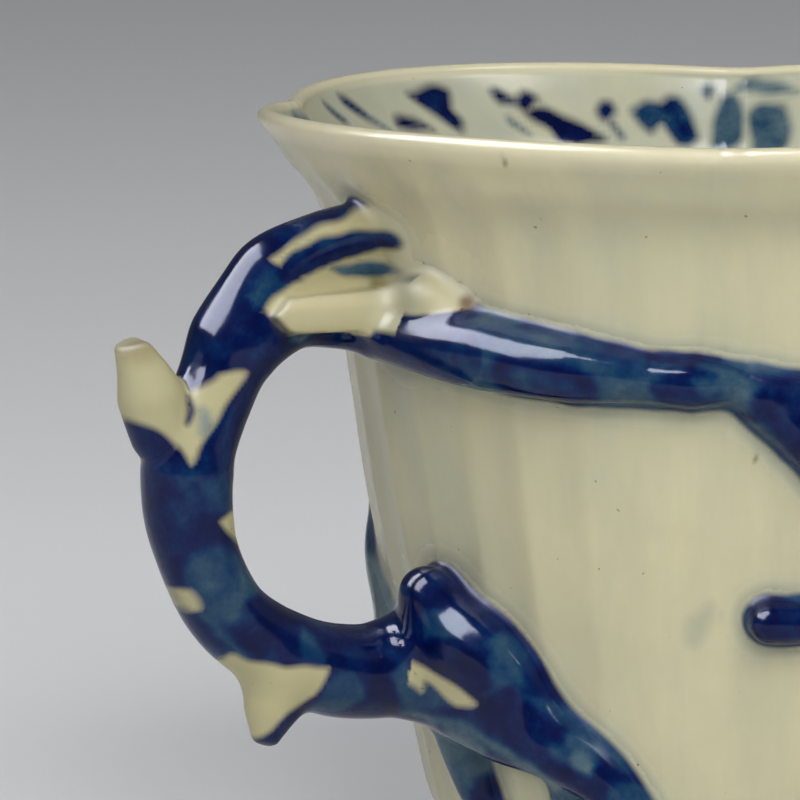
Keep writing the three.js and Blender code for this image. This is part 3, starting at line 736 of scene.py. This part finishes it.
SPRIG = {
    "leaf": (1, [(-60.8, 61.2), (-62.7, 60.9), (-65.2, 59.2), (-63.8, 59), (-60.8, 60.4)]),
    "leaf_tip": (0.4, [(-65.2, 59.2), (-67.7, 58.1), (-63.8, 59)]),
    "stalk": (0.5, [(-54.3, 60.9), (-56.5, 60.4), (-58.4, 59.3), (-56.2, 59.3)]),
    "fallen_petal": (1.1, [(-70.1, 58.8), (-71.9, 59.1), (-74.4, 58.6), (-76.6, 57.7), (-70, 58.1)]),
    "trefoil": (1.05, [
        (-75.8, 60.6), (-80.9, 61.1), (-82.9, 60.6), (-81.6, 59.2), (-82.6, 58.3), (-80.8, 57.4),
        (-78.5, 58.7), (-75.9, 60.1)]),
    "bud_pair": (1.05, [
        (-88.9, 60.2), (-90.2, 60.5), (-92, 59.8), (-93.9, 60.3), (-95.4, 59.6), (-93.1, 58.6),
        (-91.7, 59.2), (-89.5, 59.3)]),
    "bud_stem": (0.3, [(-89.9, 58.2), (-90.7, 58), (-91.9, 57), (-89.8, 57.6)]),
    "twig": (1.1, [
        (-92.5, 58.9), (-96, 58.9), (-98.5, 58.2), (-103.3, 56.4), (-96.5, 55.8), (-95.3, 57.2),
        (-93.5, 58)]),
    "berry": (1, [
        (-103.2, 58.6), (-104, 59.2), (-105.4, 59.2), (-105.9, 58.5), (-104.9, 57.8), (-103.6, 57.8)]),
    "berry_stem": (0.45, [(-104.4, 57.8), (-105.2, 57.7), (-106.1, 56.5), (-105.3, 56.4)]),
    "bloom": (0.6, [
        (-107.8, 58.4), (-110.1, 59.3), (-112.2, 59.1), (-113.7, 59.7), (-115.3, 59.4), (-117.3, 56.6),
        (-115.8, 55.8), (-113.7, 56), (-112.1, 57.4), (-110.2, 56.8)]),
    "bloom_heart": (0.95, [
        (-112.7, 59), (-114.2, 59.4), (-115.1, 58), (-116.6, 56.4), (-114.5, 56.1), (-114.2, 57.2)]),
    "pale_berry": (0.45, [(-118.1, 60.1), (-119, 60.8), (-119.9, 60.2), (-119, 59.5)]),
    "pale_petal": (0.42, [
        (-120.6, 59.4), (-122.6, 60), (-124.2, 58.2), (-123.6, 56.2), (-121, 55.4), (-119, 56)]),
    "pale_petals": (0.36, [
        (-124.6, 58.2), (-126.6, 59.2), (-129.6, 58.9), (-131, 57.4), (-130.4, 55.4), (-126, 55.2)]),
    "pale_vein": (0.6, [(-125.4, 57.8), (-127.6, 57.6), (-129.4, 56.2), (-127.6, 56.4)]),
    "pale_arch": (0.24, [
        (-122.6, 60.2), (-125, 61.2), (-128.6, 60.8), (-131.4, 60), (-128, 59.8), (-125, 60)]),
}
SPRIG_REPEAT = 90               # degrees from one painted sprig to the next, round the inside
SPRIG_START = 54                # degrees from the handle to a gap between sprigs, on the far side
SOFTEST = 0.45                  # mm over which the crispest brush edge fades
SOFTEST_INSIDE = 0.68           # the same for the sprigs, which ran more in the firing
DEGREE_ON_WALL = 0.54           # mm round the wall, for comparing turns with heights
IRON_SPECKS = [                 # turn, height, radius
    (18.4, 49.0, 0.7), (18.8, 48.1, 0.6), (17.5, 50.8, 0.22), (21.5, 51, 0.18), (30, 60.9, 0.3),
    (60, 38, 0.25), (-70, 30, 0.3), (140, 44, 0.3), (205, 26, 0.25), (250, 52, 0.3),
]


def inside_by(outline, places):
    """How far places lie inside a closed outline, below 0 outside it."""
    ends = np.array(outline, float)
    nearest = np.full(len(places), np.inf)
    within = np.zeros(len(places), bool)
    for a, b in zip(np.roll(ends, 1, axis=0), ends):
        nearest = np.minimum(nearest, from_line(places, a, b)[0])
        level = (places[:, 1] < a[1]) != (places[:, 1] < b[1])
        across, up = b - a
        crossing = a[0] + (places - a)[:, 1] * across / (up or 1)
        within ^= level & (places[:, 0] < crossing)
    return np.where(within, nearest, -nearest)


def rounded(outline, per_span=4):
    """A closed outline with its corners smoothed by a curve through them."""
    points = np.array(outline, float)
    before, after, beyond = (np.roll(points, k, axis=0) for k in (1, -1, -2))
    t = np.arange(per_span)[None, :, None] / per_span
    a, b = points[:, None], after[:, None]
    v1, v2 = (after - before)[:, None] / 3, (beyond - points)[:, None] / 3
    return hermite(a, b, v1, v2, t).reshape(-1, 2)


def brush(strength, cover, places, washes, scale=1.0, softest=SOFTEST):
    """Lays washes over a surface, each in turn: how strong the cobalt is, and how far it covers."""
    for wash, outline, *softer in washes:
        outline = rounded(outline) * (scale, 1)
        near = ((places > outline.min(0) - 1.5) & (places < outline.max(0) + 1.5)).all(1)
        if near.any():
            wobble = 0.06 * np.sin(places[near][:, ::-1] * 2.3 + wash * 9)
            edge = softer[0] if softer else softest
            share = smoothstep(inside_by(outline, places[near] + wobble), -edge, edge)
            if wash:
                fresh = np.maximum(share, 1 - cover[near])
                strength[near] = lerp(strength[near], wash, np.where(share > 0, fresh, 0))
                cover[near] = np.maximum(cover[near], share)
            else:
                cover[near] *= 1 - share
    return strength, cover


def wall_places(points, turn=None):
    turn = turn_of(points) if turn is None else turn
    return np.stack([turn * DEGREE_ON_WALL, points[:, 2]], 1)


LIGHT_WASH, DARK_WASH = 0.62, 1.05


def patches(points):
    """Dark and lighter brushfuls of cobalt, side by side."""
    x, y, z = points.T
    level = np.sin(0.62 * x + 0.35 * z + 1) * np.cos(0.5 * z - 0.45 * y)
    level = level + 0.5 * np.sin(0.8 * y + 0.7 * z)
    return lerp(LIGHT_WASH, DARK_WASH, smoothstep(level, -0.25, 0.2))


BLEED = 0.16                    # how far the blue that bled into the wall's glaze covers it


def cobalt_on_branches(points, from_any, painted, on_wall_piece):
    """Strength and cover of the cobalt, which ends with a branch and bleeds into the wall."""
    on_handle = points[:, 0] < -WAIST_RADIUS - 1
    on_front = smoothstep(points[:, 0], -WAIST_RADIUS - 3, -WAIST_RADIUS)
    strength = lerp(1.0, patches(points), on_front)
    cover = smoothstep(painted, -0.35, 0.35)
    handle = np.flatnonzero(np.abs(points[:, 1]) < 2 * HANDLE_RADIUS)
    side_view = points[handle][:, [0, 2]]
    strength[handle], cover[handle] = brush(strength[handle], cover[handle], side_view,
                                            HANDLE_WASHES.values())
    front = np.flatnonzero(~on_handle)
    strength[front], cover[front] = brush(strength[front], cover[front], wall_places(points[front]),
                                          WALL_WASHES.values(), DEGREE_ON_WALL)
    x, y, z = points.T
    uneven = 0.08 * np.sin(1.7 * x + 1.1 * z) * np.sin(1.3 * y - z)
    bleed = BLEED * (1 - smoothstep(from_any, 0.9, 2.2))
    fade = 1 - smoothstep(from_any + uneven, 0.25, 1.0)
    return strength, cover * (bleed if on_wall_piece else np.maximum(fade, bleed))


def dull(points, from_any, painted):
    """Where the glaze is less shiny: along the seams with the wall, and on cut ends of twigs."""
    seam = smoothstep(from_any, -0.1, 0.3) * (1 - smoothstep(from_any, 1.0, 1.9))
    cut_end = smoothstep(-painted, 0, 0.6) * smoothstep(-points[:, 0], 30.5, 32.5)
    return np.maximum(seam, cut_end)


# how far the painted highlight lightens the cut stub's ridge
RIDGE_HIGHLIGHT = 0.34


def stub_ridge_highlight(points):
    """A painted highlight along the ridge of the cut stub, whose face turns up towards the light."""
    across = np.linalg.norm((points - STUB_MIDDLE)[:, 1:] - [-STUB_FACE, STUB_RIDGE], axis=1)
    along = smoothstep(STUB_LENGTH / 2 - np.abs(points[:, 0] - STUB_MIDDLE[0]), 0, 1.5)
    return RIDGE_HIGHLIGHT * along * (1 - smoothstep(across, 0.5, 2.2))


def iron(points):
    """Brown specks of iron in the glaze, and the stain on the thumb spur's tip."""
    stain = np.zeros(len(points))
    for turn, height, radius in IRON_SPECKS:
        off = np.linalg.norm(points - on_wall(turn, height), axis=1)
        stain = np.maximum(stain, 1 - smoothstep(off, 0.5 * radius, 1.6 * radius))
    tip = THUMB_PATH[2]
    across = np.linalg.norm(points - tip - [-0.8, -1.5, 1.7], axis=1)
    return np.maximum(stain, 0.4 * (1 - smoothstep(across, 0.5, 2.6)))


KNUCKLE = on_wall(9, 0.775 * CUP_HEIGHT, 1.2)


def pooled_glaze_and_shade(points, from_any):
    """Thick bluish glaze in the flutes, and painted shade round the branches and by the knuckle."""
    turn, height = turn_of(points), points[:, 2]
    hollow = flute_depth(turn, height) / FLUTE_DEPTH
    # round the branches: glaze that pools there, darkened further as painted shade
    glaze_halo_and_shade = (1 - smoothstep(from_any, 0.4, 2.5)) * smoothstep(from_any, 0, 0.5)
    # beside the knuckle: painted shade
    knuckle_shade = 1 - smoothstep(np.linalg.norm(points - KNUCKLE, axis=1), 1.5, 4.5)
    return 0.16 * hollow**2 + np.maximum(0.7 * glaze_halo_and_shade, 1.3 * knuckle_shade)


def paint(points, on_wall_piece=False):
    """Per-point values that the glaze material reads."""
    from_any = sampled(ALL_BRANCHES, points)
    painted = sampled(BARE, points) - sampled(PAINTED, points)
    strength, cover = cobalt_on_branches(points, from_any, painted, on_wall_piece)
    # lip carries the painted highlight on the cut stub's ridge
    # pool carries the thick glaze in the flutes and the painted shade round the branches
    return {"cobalt": strength, "cover": cover, "iron": iron(points), "lip": stub_ridge_highlight(points),
            "pool_and_shade": pooled_glaze_and_shade(points, from_any), "warm": 1 - smoothstep(from_any, 0.1, 1.2),
            "dull": dull(points, from_any, painted), "bare": np.zeros(len(points))}


def wall_paint(points, inside):
    """The same for the wall, with painted sprigs round its inside."""
    values = paint(points, on_wall_piece=True)
    turn = turn_of(points)
    sprig_turn = (turn + SPRIG_START) % SPRIG_REPEAT - SPRIG_START - SPRIG_REPEAT
    blank = np.zeros(len(points))
    sprigs = brush(blank.copy(), blank.copy(), wall_places(points, sprig_turn), SPRIG.values(),
                   DEGREE_ON_WALL, SOFTEST_INSIDE)
    smudged = brush(values["cobalt"].copy(), values["cover"].copy(), wall_places(points),
                    [SMUDGE], DEGREE_ON_WALL)
    values["cobalt"] = np.where(inside, sprigs[0], smudged[0])
    faint = np.where(values["cover"] > 0, smudged[1], SMUDGE_COVER * smudged[1])
    values["cover"] = np.where(inside, sprigs[1], faint)
    # painted shade over the inside of the mouth, with a cooler tint
    values["pool_and_shade"] = np.where(inside, POOL_AND_SHADE_INSIDE, values["pool_and_shade"])
    # a paler band round the lip: thin glaze, and partly a painted highlight
    outside_lip = smoothstep(points[:, 2], CUP_HEIGHT - 2.6, CUP_HEIGHT - 1.3)
    inside_lip = smoothstep(points[:, 2], CUP_HEIGHT - 1.3, CUP_HEIGHT - 0.7)
    values["lip"] = np.where(inside, inside_lip, outside_lip)
    for key in ("dull", "warm", "iron"):
        values[key] = np.where(inside, 0, values[key])
    return values


# Meshes

def linked(name, data):
    """A new object in the scene."""
    made = bpy.data.objects.new(name, data)
    bpy.context.scene.collection.objects.link(made)
    return made


def to_metres(points):
    return (np.asarray(points) + np.array(AXIS)) * METRE


def glazed_object(name, points, faces, values):
    """An object from points in millimetres, with per-point values as attributes."""
    mesh = bpy.data.meshes.new(name)
    mesh.from_pydata(to_metres(points).tolist(), [], [list(f) for f in faces])
    mesh.update()
    for key, value in values.items():
        mesh.attributes.new(key, "FLOAT", "POINT").data.foreach_set("value", value.astype(np.float32))
    mesh.polygons.foreach_set("use_smooth", [True] * len(mesh.polygons))
    mesh.materials.append(GLAZE)
    return linked(name, mesh)


def branch_pieces():
    """One closed object for each branch. Where two are joined they share an inner face."""
    points, normals, faces, owner, shown = branch_surface()
    for index, name in enumerate(NAMES):
        own = owner == index
        if not own.any():
            raise ValueError(f"no surface is left for {name}")
        used, renumbered = np.unique(faces[own], return_inverse=True)
        quads = renumbered.reshape(-1, 4)
        made = glazed_object(f"fired_{name}", points[used], quads, paint(points[used]))
        made.data.polygons.foreach_set("use_smooth", shown[own])
        corner_normals = np.where(shown[own][:, None, None], normals[used][quads], 0)
        made.data.normals_split_custom_set(corner_normals.reshape(-1, 3).tolist())
        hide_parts(name)
        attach(made, "root")


def ring_faces(rings, segments):
    """Quads between each ring of points and the next."""
    i = np.arange(segments)
    n = (i + 1) % segments
    faces = []
    for low, high in zip(rings, rings[1:]):
        low, high = low * segments, high * segments
        faces += np.stack([low + i, low + n, high + n, high + i], 1).tolist()
    return faces


def closed_faces(rows, segments):
    """Faces between rows of points round the axis, with a fan over each end."""
    i = np.arange(segments)
    n = (i + 1) % segments
    top = (rows - 1) * segments
    first, last = (np.full(segments, rows * segments + k) for k in (0, 1))
    fans = np.vstack([np.stack([n, i, first], 1), np.stack([top + i, top + n, last], 1)])
    return ring_faces(range(rows), segments) + fans.tolist()


def cup_wall():
    """The fluted, lobed wall with its lip, its inside and its floor."""
    turns = np.arange(WALL_SEGMENTS) * 360 / WALL_SEGMENTS
    inner_floor = BASE_HEIGHT + FLOOR
    lip_middle = CUP_HEIGHT - LIP / 2
    rows = []                   # radius, height, how much of the flutes it has
    rows += [(r, BASE_HEIGHT, 0) for r in np.linspace(4, BASE_RADIUS - 0.6, 6)]
    rows += [(BASE_RADIUS - 0.2, BASE_HEIGHT + 0.05, 1)]
    rows += [(wall_radius(h) - lip_inset(h), h, 1)
             for h in np.linspace(BASE_HEIGHT + 0.3, lip_middle, 110)]
    rows += [(RIM_RADIUS - LIP_INSET - LIP / 2 + LIP / 2 * math.cos(a),
              lip_middle + LIP / 2 * math.sin(a), 0) for a in np.radians(np.linspace(20, 160, 8))]
    outside_rows = len(rows)
    for h in [*np.linspace(lip_middle, 54, 22), *np.linspace(53.3, inner_floor + CORNER, 12)]:
        thickness = lerp(WALL, LIP, float(smoothstep(h, CUP_HEIGHT - 6, CUP_HEIGHT - LIP)))
        rows.append((wall_radius(h) - thickness, h, 0))
    corner = wall_radius(inner_floor + CORNER) - WALL
    rows += [(corner - CORNER * (1 - math.cos(a)), inner_floor + CORNER * (1 - math.sin(a)), 0)
             for a in np.radians(np.linspace(15, 90, 6))]
    rows += [(r, inner_floor, 0) for r in np.linspace(corner - 4, 3, 8)]
    points = []
    for radius, height, fluted in rows:
        inward = notch_depth(turns, height) + fluted * flute_depth(turns, height)
        inward = inward * smoothstep(radius, SINK, BASE_RADIUS)
        points.append(around(turns, radius - inward, height - wall_dip(turns, height)))
    points = np.vstack([*points, [[0, 0, BASE_HEIGHT], [0, 0, inner_floor]]])
    inside = np.arange(len(points)) >= outside_rows * WALL_SEGMENTS
    made = glazed_object("fired_wall", points, closed_faces(len(rows), WALL_SEGMENTS),
                         wall_paint(points, inside))
    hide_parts("cup_body")
    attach(made, "root")


def foot():
    """The turned foot, its edge wiped clean of glaze, run into the base above it."""
    inner = FOOT_RADIUS - FOOT_WIDTH
    top = FOOT_HEIGHT + FOOT_OVERLAP
    edge = FOOT_EDGE
    profile = [(FOOT_RADIUS - FOOT_WIDTH / 2, 0)]
    profile += [(FOOT_RADIUS - edge + edge * math.sin(a), edge - edge * math.cos(a))
                for a in np.radians(np.linspace(0, 90, 6))]
    profile += [(FOOT_RADIUS + 0.8 * s**2, lerp(edge, top, s)) for s in np.linspace(0.15, 1, 8)]
    profile += [(inner - 0.5 * s**2, lerp(edge, top, s)) for s in np.linspace(1, 0.15, 8)]
    profile += [(inner + edge - edge * math.sin(a), edge - edge * math.cos(a))
                for a in np.radians(np.linspace(90, 0, 6))]
    turns = np.arange(FOOT_SEGMENTS) * 360 / FOOT_SEGMENTS
    wobble = 0.05 * np.sin(np.radians(3 * turns))
    points = np.vstack([around(turns, radius + wobble, height) for radius, height in profile])
    values = dict.fromkeys(("cobalt", "cover", "lip", "iron", "pool_and_shade", "warm", "dull"),
                           np.zeros(len(points)))
    values["bare"] = 1 - smoothstep(points[:, 2], 0.35, 0.7)
    faces = ring_faces([*range(len(profile)), 0], FOOT_SEGMENTS)
    made = glazed_object("fired_foot", points, faces, values)
    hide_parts("foot_ring")
    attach(made, "root")


# Materials

class Nodes:
    """Short calls for building a material's nodes."""

    def __init__(self, material):
        material.use_nodes = True
        self.tree = material.node_tree
        self.tree.nodes.clear()

    def new(self, kind, **settings):
        node = self.tree.nodes.new(kind)
        for key, value in settings.items():
            if key in node.inputs:
                node.inputs[key].default_value = value
            else:
                setattr(node, key, value)
        return node

    def link(self, output, target):
        self.tree.links.new(output, target)

    def give(self, socket, value):
        """Sets a socket to a number or a colour, or links it to an output."""
        if isinstance(value, (int, float)):
            socket.default_value = value
        elif isinstance(value, tuple):
            socket.default_value = (*value, 1)
        else:
            self.link(value, socket)

    def attribute(self, name):
        return self.new("ShaderNodeAttribute", attribute_name=name).outputs["Fac"]

    def noise(self, vector, scale, detail=3, roughness=0.5):
        node = self.new("ShaderNodeTexNoise", Scale=scale, Detail=detail, Roughness=roughness)
        self.link(vector, node.inputs["Vector"])
        return node.outputs["Fac"]

    def math(self, operation, a, b=0.0, clamp=False):
        node = self.new("ShaderNodeMath", operation=operation, use_clamp=clamp)
        for socket, value in zip(node.inputs, (a, b)):
            self.give(socket, value)
        return node.outputs[0]

    def times(self, a, b):
        return self.math("MULTIPLY", a, b)

    def plus(self, a, b):
        return self.math("ADD", a, b)

    def ramp(self, value, stops):
        node = self.new("ShaderNodeValToRGB")
        elements = node.color_ramp.elements
        while len(elements) < len(stops):
            elements.new(0.5)
        for element, (place, color) in zip(elements, stops):
            element.position = place
            element.color = (*color, 1)
        self.link(value, node.inputs[0])
        return node.outputs[0]

    def band(self, value, low, high):
        """0 up to low, 1 from high on."""
        return self.ramp(value, [(low, (0, 0, 0)), (high, (1, 1, 1))])

    def mix(self, factor, a, b):
        node = self.new("ShaderNodeMix", data_type="RGBA")
        for socket, value in zip((node.inputs[0], node.inputs[6], node.inputs[7]), (factor, a, b)):
            self.give(socket, value)
        return node.outputs[2]


# Glaze colours: the cream body, and what is mixed into it
CREAM_STOPS = [(0.35, (0.53, 0.51, 0.335)), (0.65, (0.61, 0.56, 0.355))]
RUNS = (0.41, 0.42, 0.31)
MOTTLE = (0.47, 0.41, 0.24)
# thick glaze in the flutes, and also the colour of the painted shade round branches, by the knuckle and
# inside the mouth
THICK_GLAZE_AND_SHADE = (0.33, 0.40, 0.38)
BESIDE_BRANCHES = (0.38, 0.34, 0.17)
# a pale rim of thin glaze, partly a painted highlight; also the painted highlight on the stub's ridge
THIN_GLAZE_AND_HIGHLIGHT = (0.86, 0.79, 0.56)
SPECKS = (0.12, 0.07, 0.02)
IRON_STAIN = (0.10, 0.05, 0.012)
BARE_CLAY = (0.50, 0.42, 0.30)
COBALT_STOPS = [
    (0.1, (0.17, 0.225, 0.235)), (0.26, (0.075, 0.125, 0.155)), (0.4, (0.025, 0.065, 0.11)),
    (0.55, (0.005, 0.034, 0.095)), (0.7, (0.001, 0.014, 0.076)), (0.86, (0.0003, 0.005, 0.052)),
    (1.0, (0.0002, 0.003, 0.038)),
]
GLAZE_IOR = 1.5
GLAZE_SHINE = 0.22              # Specular IOR Level


def glaze_material():
    """Thick, slightly uneven cream-white glaze with cobalt under it."""
    material = bpy.data.materials.new("painted_glaze")
    n = Nodes(material)
    place = n.new("ShaderNodeTexCoord").outputs["Object"]
    stretched = n.new("ShaderNodeMapping", Scale=(1, 1, 0.1))
    n.link(place, stretched.inputs["Vector"])
    streaks = stretched.outputs[0]
    color = n.ramp(n.noise(place, 60, 2), CREAM_STOPS)
    run = n.band(n.noise(streaks, 230, 4, 0.6), 0.42, 0.72)
    mottle = n.band(n.noise(place, 420, 4, 0.65), 0.4, 0.75)
    # thick glaze, and painted shade round branches, by the knuckle and inside the mouth
    pool_and_shade = n.times(n.attribute("pool_and_shade"), n.plus(n.noise(streaks, 160, 2), 0.1))
    # lip mixes in thin glaze at the rim, partly painted highlight, and the painted highlight on the
    # stub's ridge
    for factor, share, layer in ((run, 0.45, RUNS), (mottle, 0.16, MOTTLE), (pool_and_shade, 0.7, THICK_GLAZE_AND_SHADE),
                                 (n.attribute("warm"), 0.65, BESIDE_BRANCHES),
                                 (n.attribute("lip"), 0.56, THIN_GLAZE_AND_HIGHLIGHT)):
        color = n.mix(n.times(factor, share), color, layer)
    grain = n.plus(n.times(n.noise(place, 420, 4, 0.62), 1.3), 0.35)
    strength = n.times(n.times(n.attribute("cobalt"), grain), 0.8)
    cover = n.band(n.attribute("cover"), 0.06, 0.9)
    color = n.mix(cover, color, n.ramp(strength, COBALT_STOPS))
    speck = n.band(n.noise(place, 1300, 1), 0.79, 0.82)
    speck = n.times(speck, n.math("SUBTRACT", 0.6, cover, clamp=True))
    color = n.mix(speck, color, SPECKS)
    color = n.mix(n.times(n.attribute("iron"), 0.9), color, IRON_STAIN)
    bare = n.attribute("bare")
    color = n.mix(bare, color, BARE_CLAY)
    shader = n.new("ShaderNodeBsdfPrincipled", IOR=GLAZE_IOR)
    shader.inputs["Specular IOR Level"].default_value = GLAZE_SHINE
    n.link(color, shader.inputs["Base Color"])
    rough = n.plus(n.times(n.noise(place, 140, 3), 0.06), 0.07)
    unpainted = n.math("SUBTRACT", 1, cover)
    for factor, share in ((unpainted, 0.16), (n.attribute("dull"), 0.28), (bare, 0.5)):
        rough = n.plus(rough, n.times(factor, share))
    n.link(rough, shader.inputs["Roughness"])
    ripples = n.plus(n.noise(place, 190, 2), n.times(n.noise(place, 900, 2), 0.12))
    bump = n.new("ShaderNodeBump", Strength=0.25, Distance=0.0004)
    n.link(ripples, bump.inputs["Height"])
    n.link(bump.outputs[0], shader.inputs["Normal"])
    n.link(shader.outputs[0], n.new("ShaderNodeOutputMaterial").inputs[0])
    return material


GRID, ALL_BRANCHES, NEAREST, PAINTED, BARE = all_branches()
GLAZE = glaze_material()
cup_wall()
foot()
branch_pieces()


# Floor, camera and light

FLOOR_SIZE = 4                  # metres from the cup to the floor's edge
# darker away from the cup: painted falloff of the light over the floor
FLOOR_FALLOFF_STOPS = [(0.12, (0.8, 0.8, 0.79)), (0.6, (0.46, 0.46, 0.46))]
FLOOR_GLOW = 0.08               # of the floor as the camera and reflections see it
LENS, SENSOR = 340.2, 36
CAMERA_PLACE = (-326.783, -503.202, 116.604)
CAMERA_VIEW = (0.5023776, 0.8549116, -0.1293947)
WORLD_COLOR, WORLD_STRENGTH = (0.92, 0.94, 1, 1), 0.12
AIM_HEIGHT = 35                 # where on the cup's axis the lamps point
# Each lamp: turn, elevation, distance and size in metres, watts, colour, whether only for gloss
LAMPS = {
    "key": (78, 42, 0.9, (0.6, 0.6), 5.6, (1, 1, 1), False),
    "front": (32, 33, 1.1, (0.6, 0.6), 3.4, (1, 1, 1), False),
    "window": (-12, 50, 0.8, (0.9, 0.75), 46, (0.86, 0.88, 1), True),
    "far_window": (130, 50, 0.9, (0.3, 0.4), 5, (0.95, 0.97, 1), True),
}


def floor():
    bm = bmesh.new()
    bmesh.ops.create_grid(bm, x_segments=2, y_segments=2, size=FLOOR_SIZE)
    mesh = bpy.data.meshes.new("floor")
    bm.to_mesh(mesh)
    bm.free()
    made = linked("floor", mesh)
    material = bpy.data.materials.new("floor_paint")
    n = Nodes(material)
    shader = n.new("ShaderNodeBsdfPrincipled", Roughness=0.9)
    place = n.new("ShaderNodeTexCoord").outputs["Object"]
    away = n.new("ShaderNodeVectorMath", operation="LENGTH")
    n.link(place, away.inputs[0])
    # painted falloff: the floor darkens with distance from the cup
    share = n.math("DIVIDE", away.outputs["Value"], FLOOR_SIZE)
    n.link(n.ramp(share, FLOOR_FALLOFF_STOPS), shader.inputs["Base Color"])
    rays = n.new("ShaderNodeLightPath").outputs
    mirrored = n.plus(rays["Is Glossy Ray"], rays["Is Transmission Ray"])
    seen = n.math("ADD", rays["Is Camera Ray"], mirrored, clamp=True)
    shader.inputs["Emission Color"].default_value = (1, 1, 1, 1)
    n.link(n.times(seen, FLOOR_GLOW), shader.inputs["Emission Strength"])
    n.link(shader.outputs[0], n.new("ShaderNodeOutputMaterial").inputs[0])
    made.data.materials.append(material)


def area_light(name, turn, elevation, distance, size, power, color, glossy):
    """A soft box that faces the cup from a turn round its axis and an elevation."""
    data = bpy.data.lights.new(name, "AREA")
    data.shape = "RECTANGLE"
    data.size, data.size_y = size
    data.energy = power
    data.color = color
    made = linked(name, data)
    flat = distance * math.cos(math.radians(elevation))
    aim = Vector(to_metres([0, 0, AIM_HEIGHT]))
    offset = around(turn, flat, distance * math.sin(math.radians(elevation)))
    made.location = aim + Vector(offset)
    made.rotation_mode = "QUATERNION"
    made.rotation_quaternion = (aim - made.location).to_track_quat("-Z", "Y")
    made.visible_diffuse, made.visible_glossy = not glossy, glossy
    made.visible_camera = False


def camera():
    """The photograph's view: 600 mm away, with the cup's axis near the right edge of the frame."""
    data = bpy.data.cameras.new("camera")
    data.sensor_width = SENSOR
    data.lens = LENS
    data.clip_start, data.clip_end = 0.01, 20
    made = linked("camera", data)
    forward = Vector(CAMERA_VIEW).normalized()
    side = forward.cross(Vector((0, 0, 1))).normalized()
    up = side.cross(forward)
    turned = Matrix((side, up, -forward)).transposed().to_4x4()
    made.matrix_world = Matrix.Translation(Vector(to_metres(CAMERA_PLACE))) @ turned
    bpy.context.scene.camera = made


def world():
    made = bpy.data.worlds.new("studio")
    bpy.context.scene.world = made
    made.use_nodes = True
    background = made.node_tree.nodes["Background"].inputs
    background[0].default_value = WORLD_COLOR
    background[1].default_value = WORLD_STRENGTH


floor()
camera()
world()
for lamp_name, lamp in LAMPS.items():
    area_light(lamp_name, *lamp)

bpy.context.scene.view_settings.view_transform = "Standard"
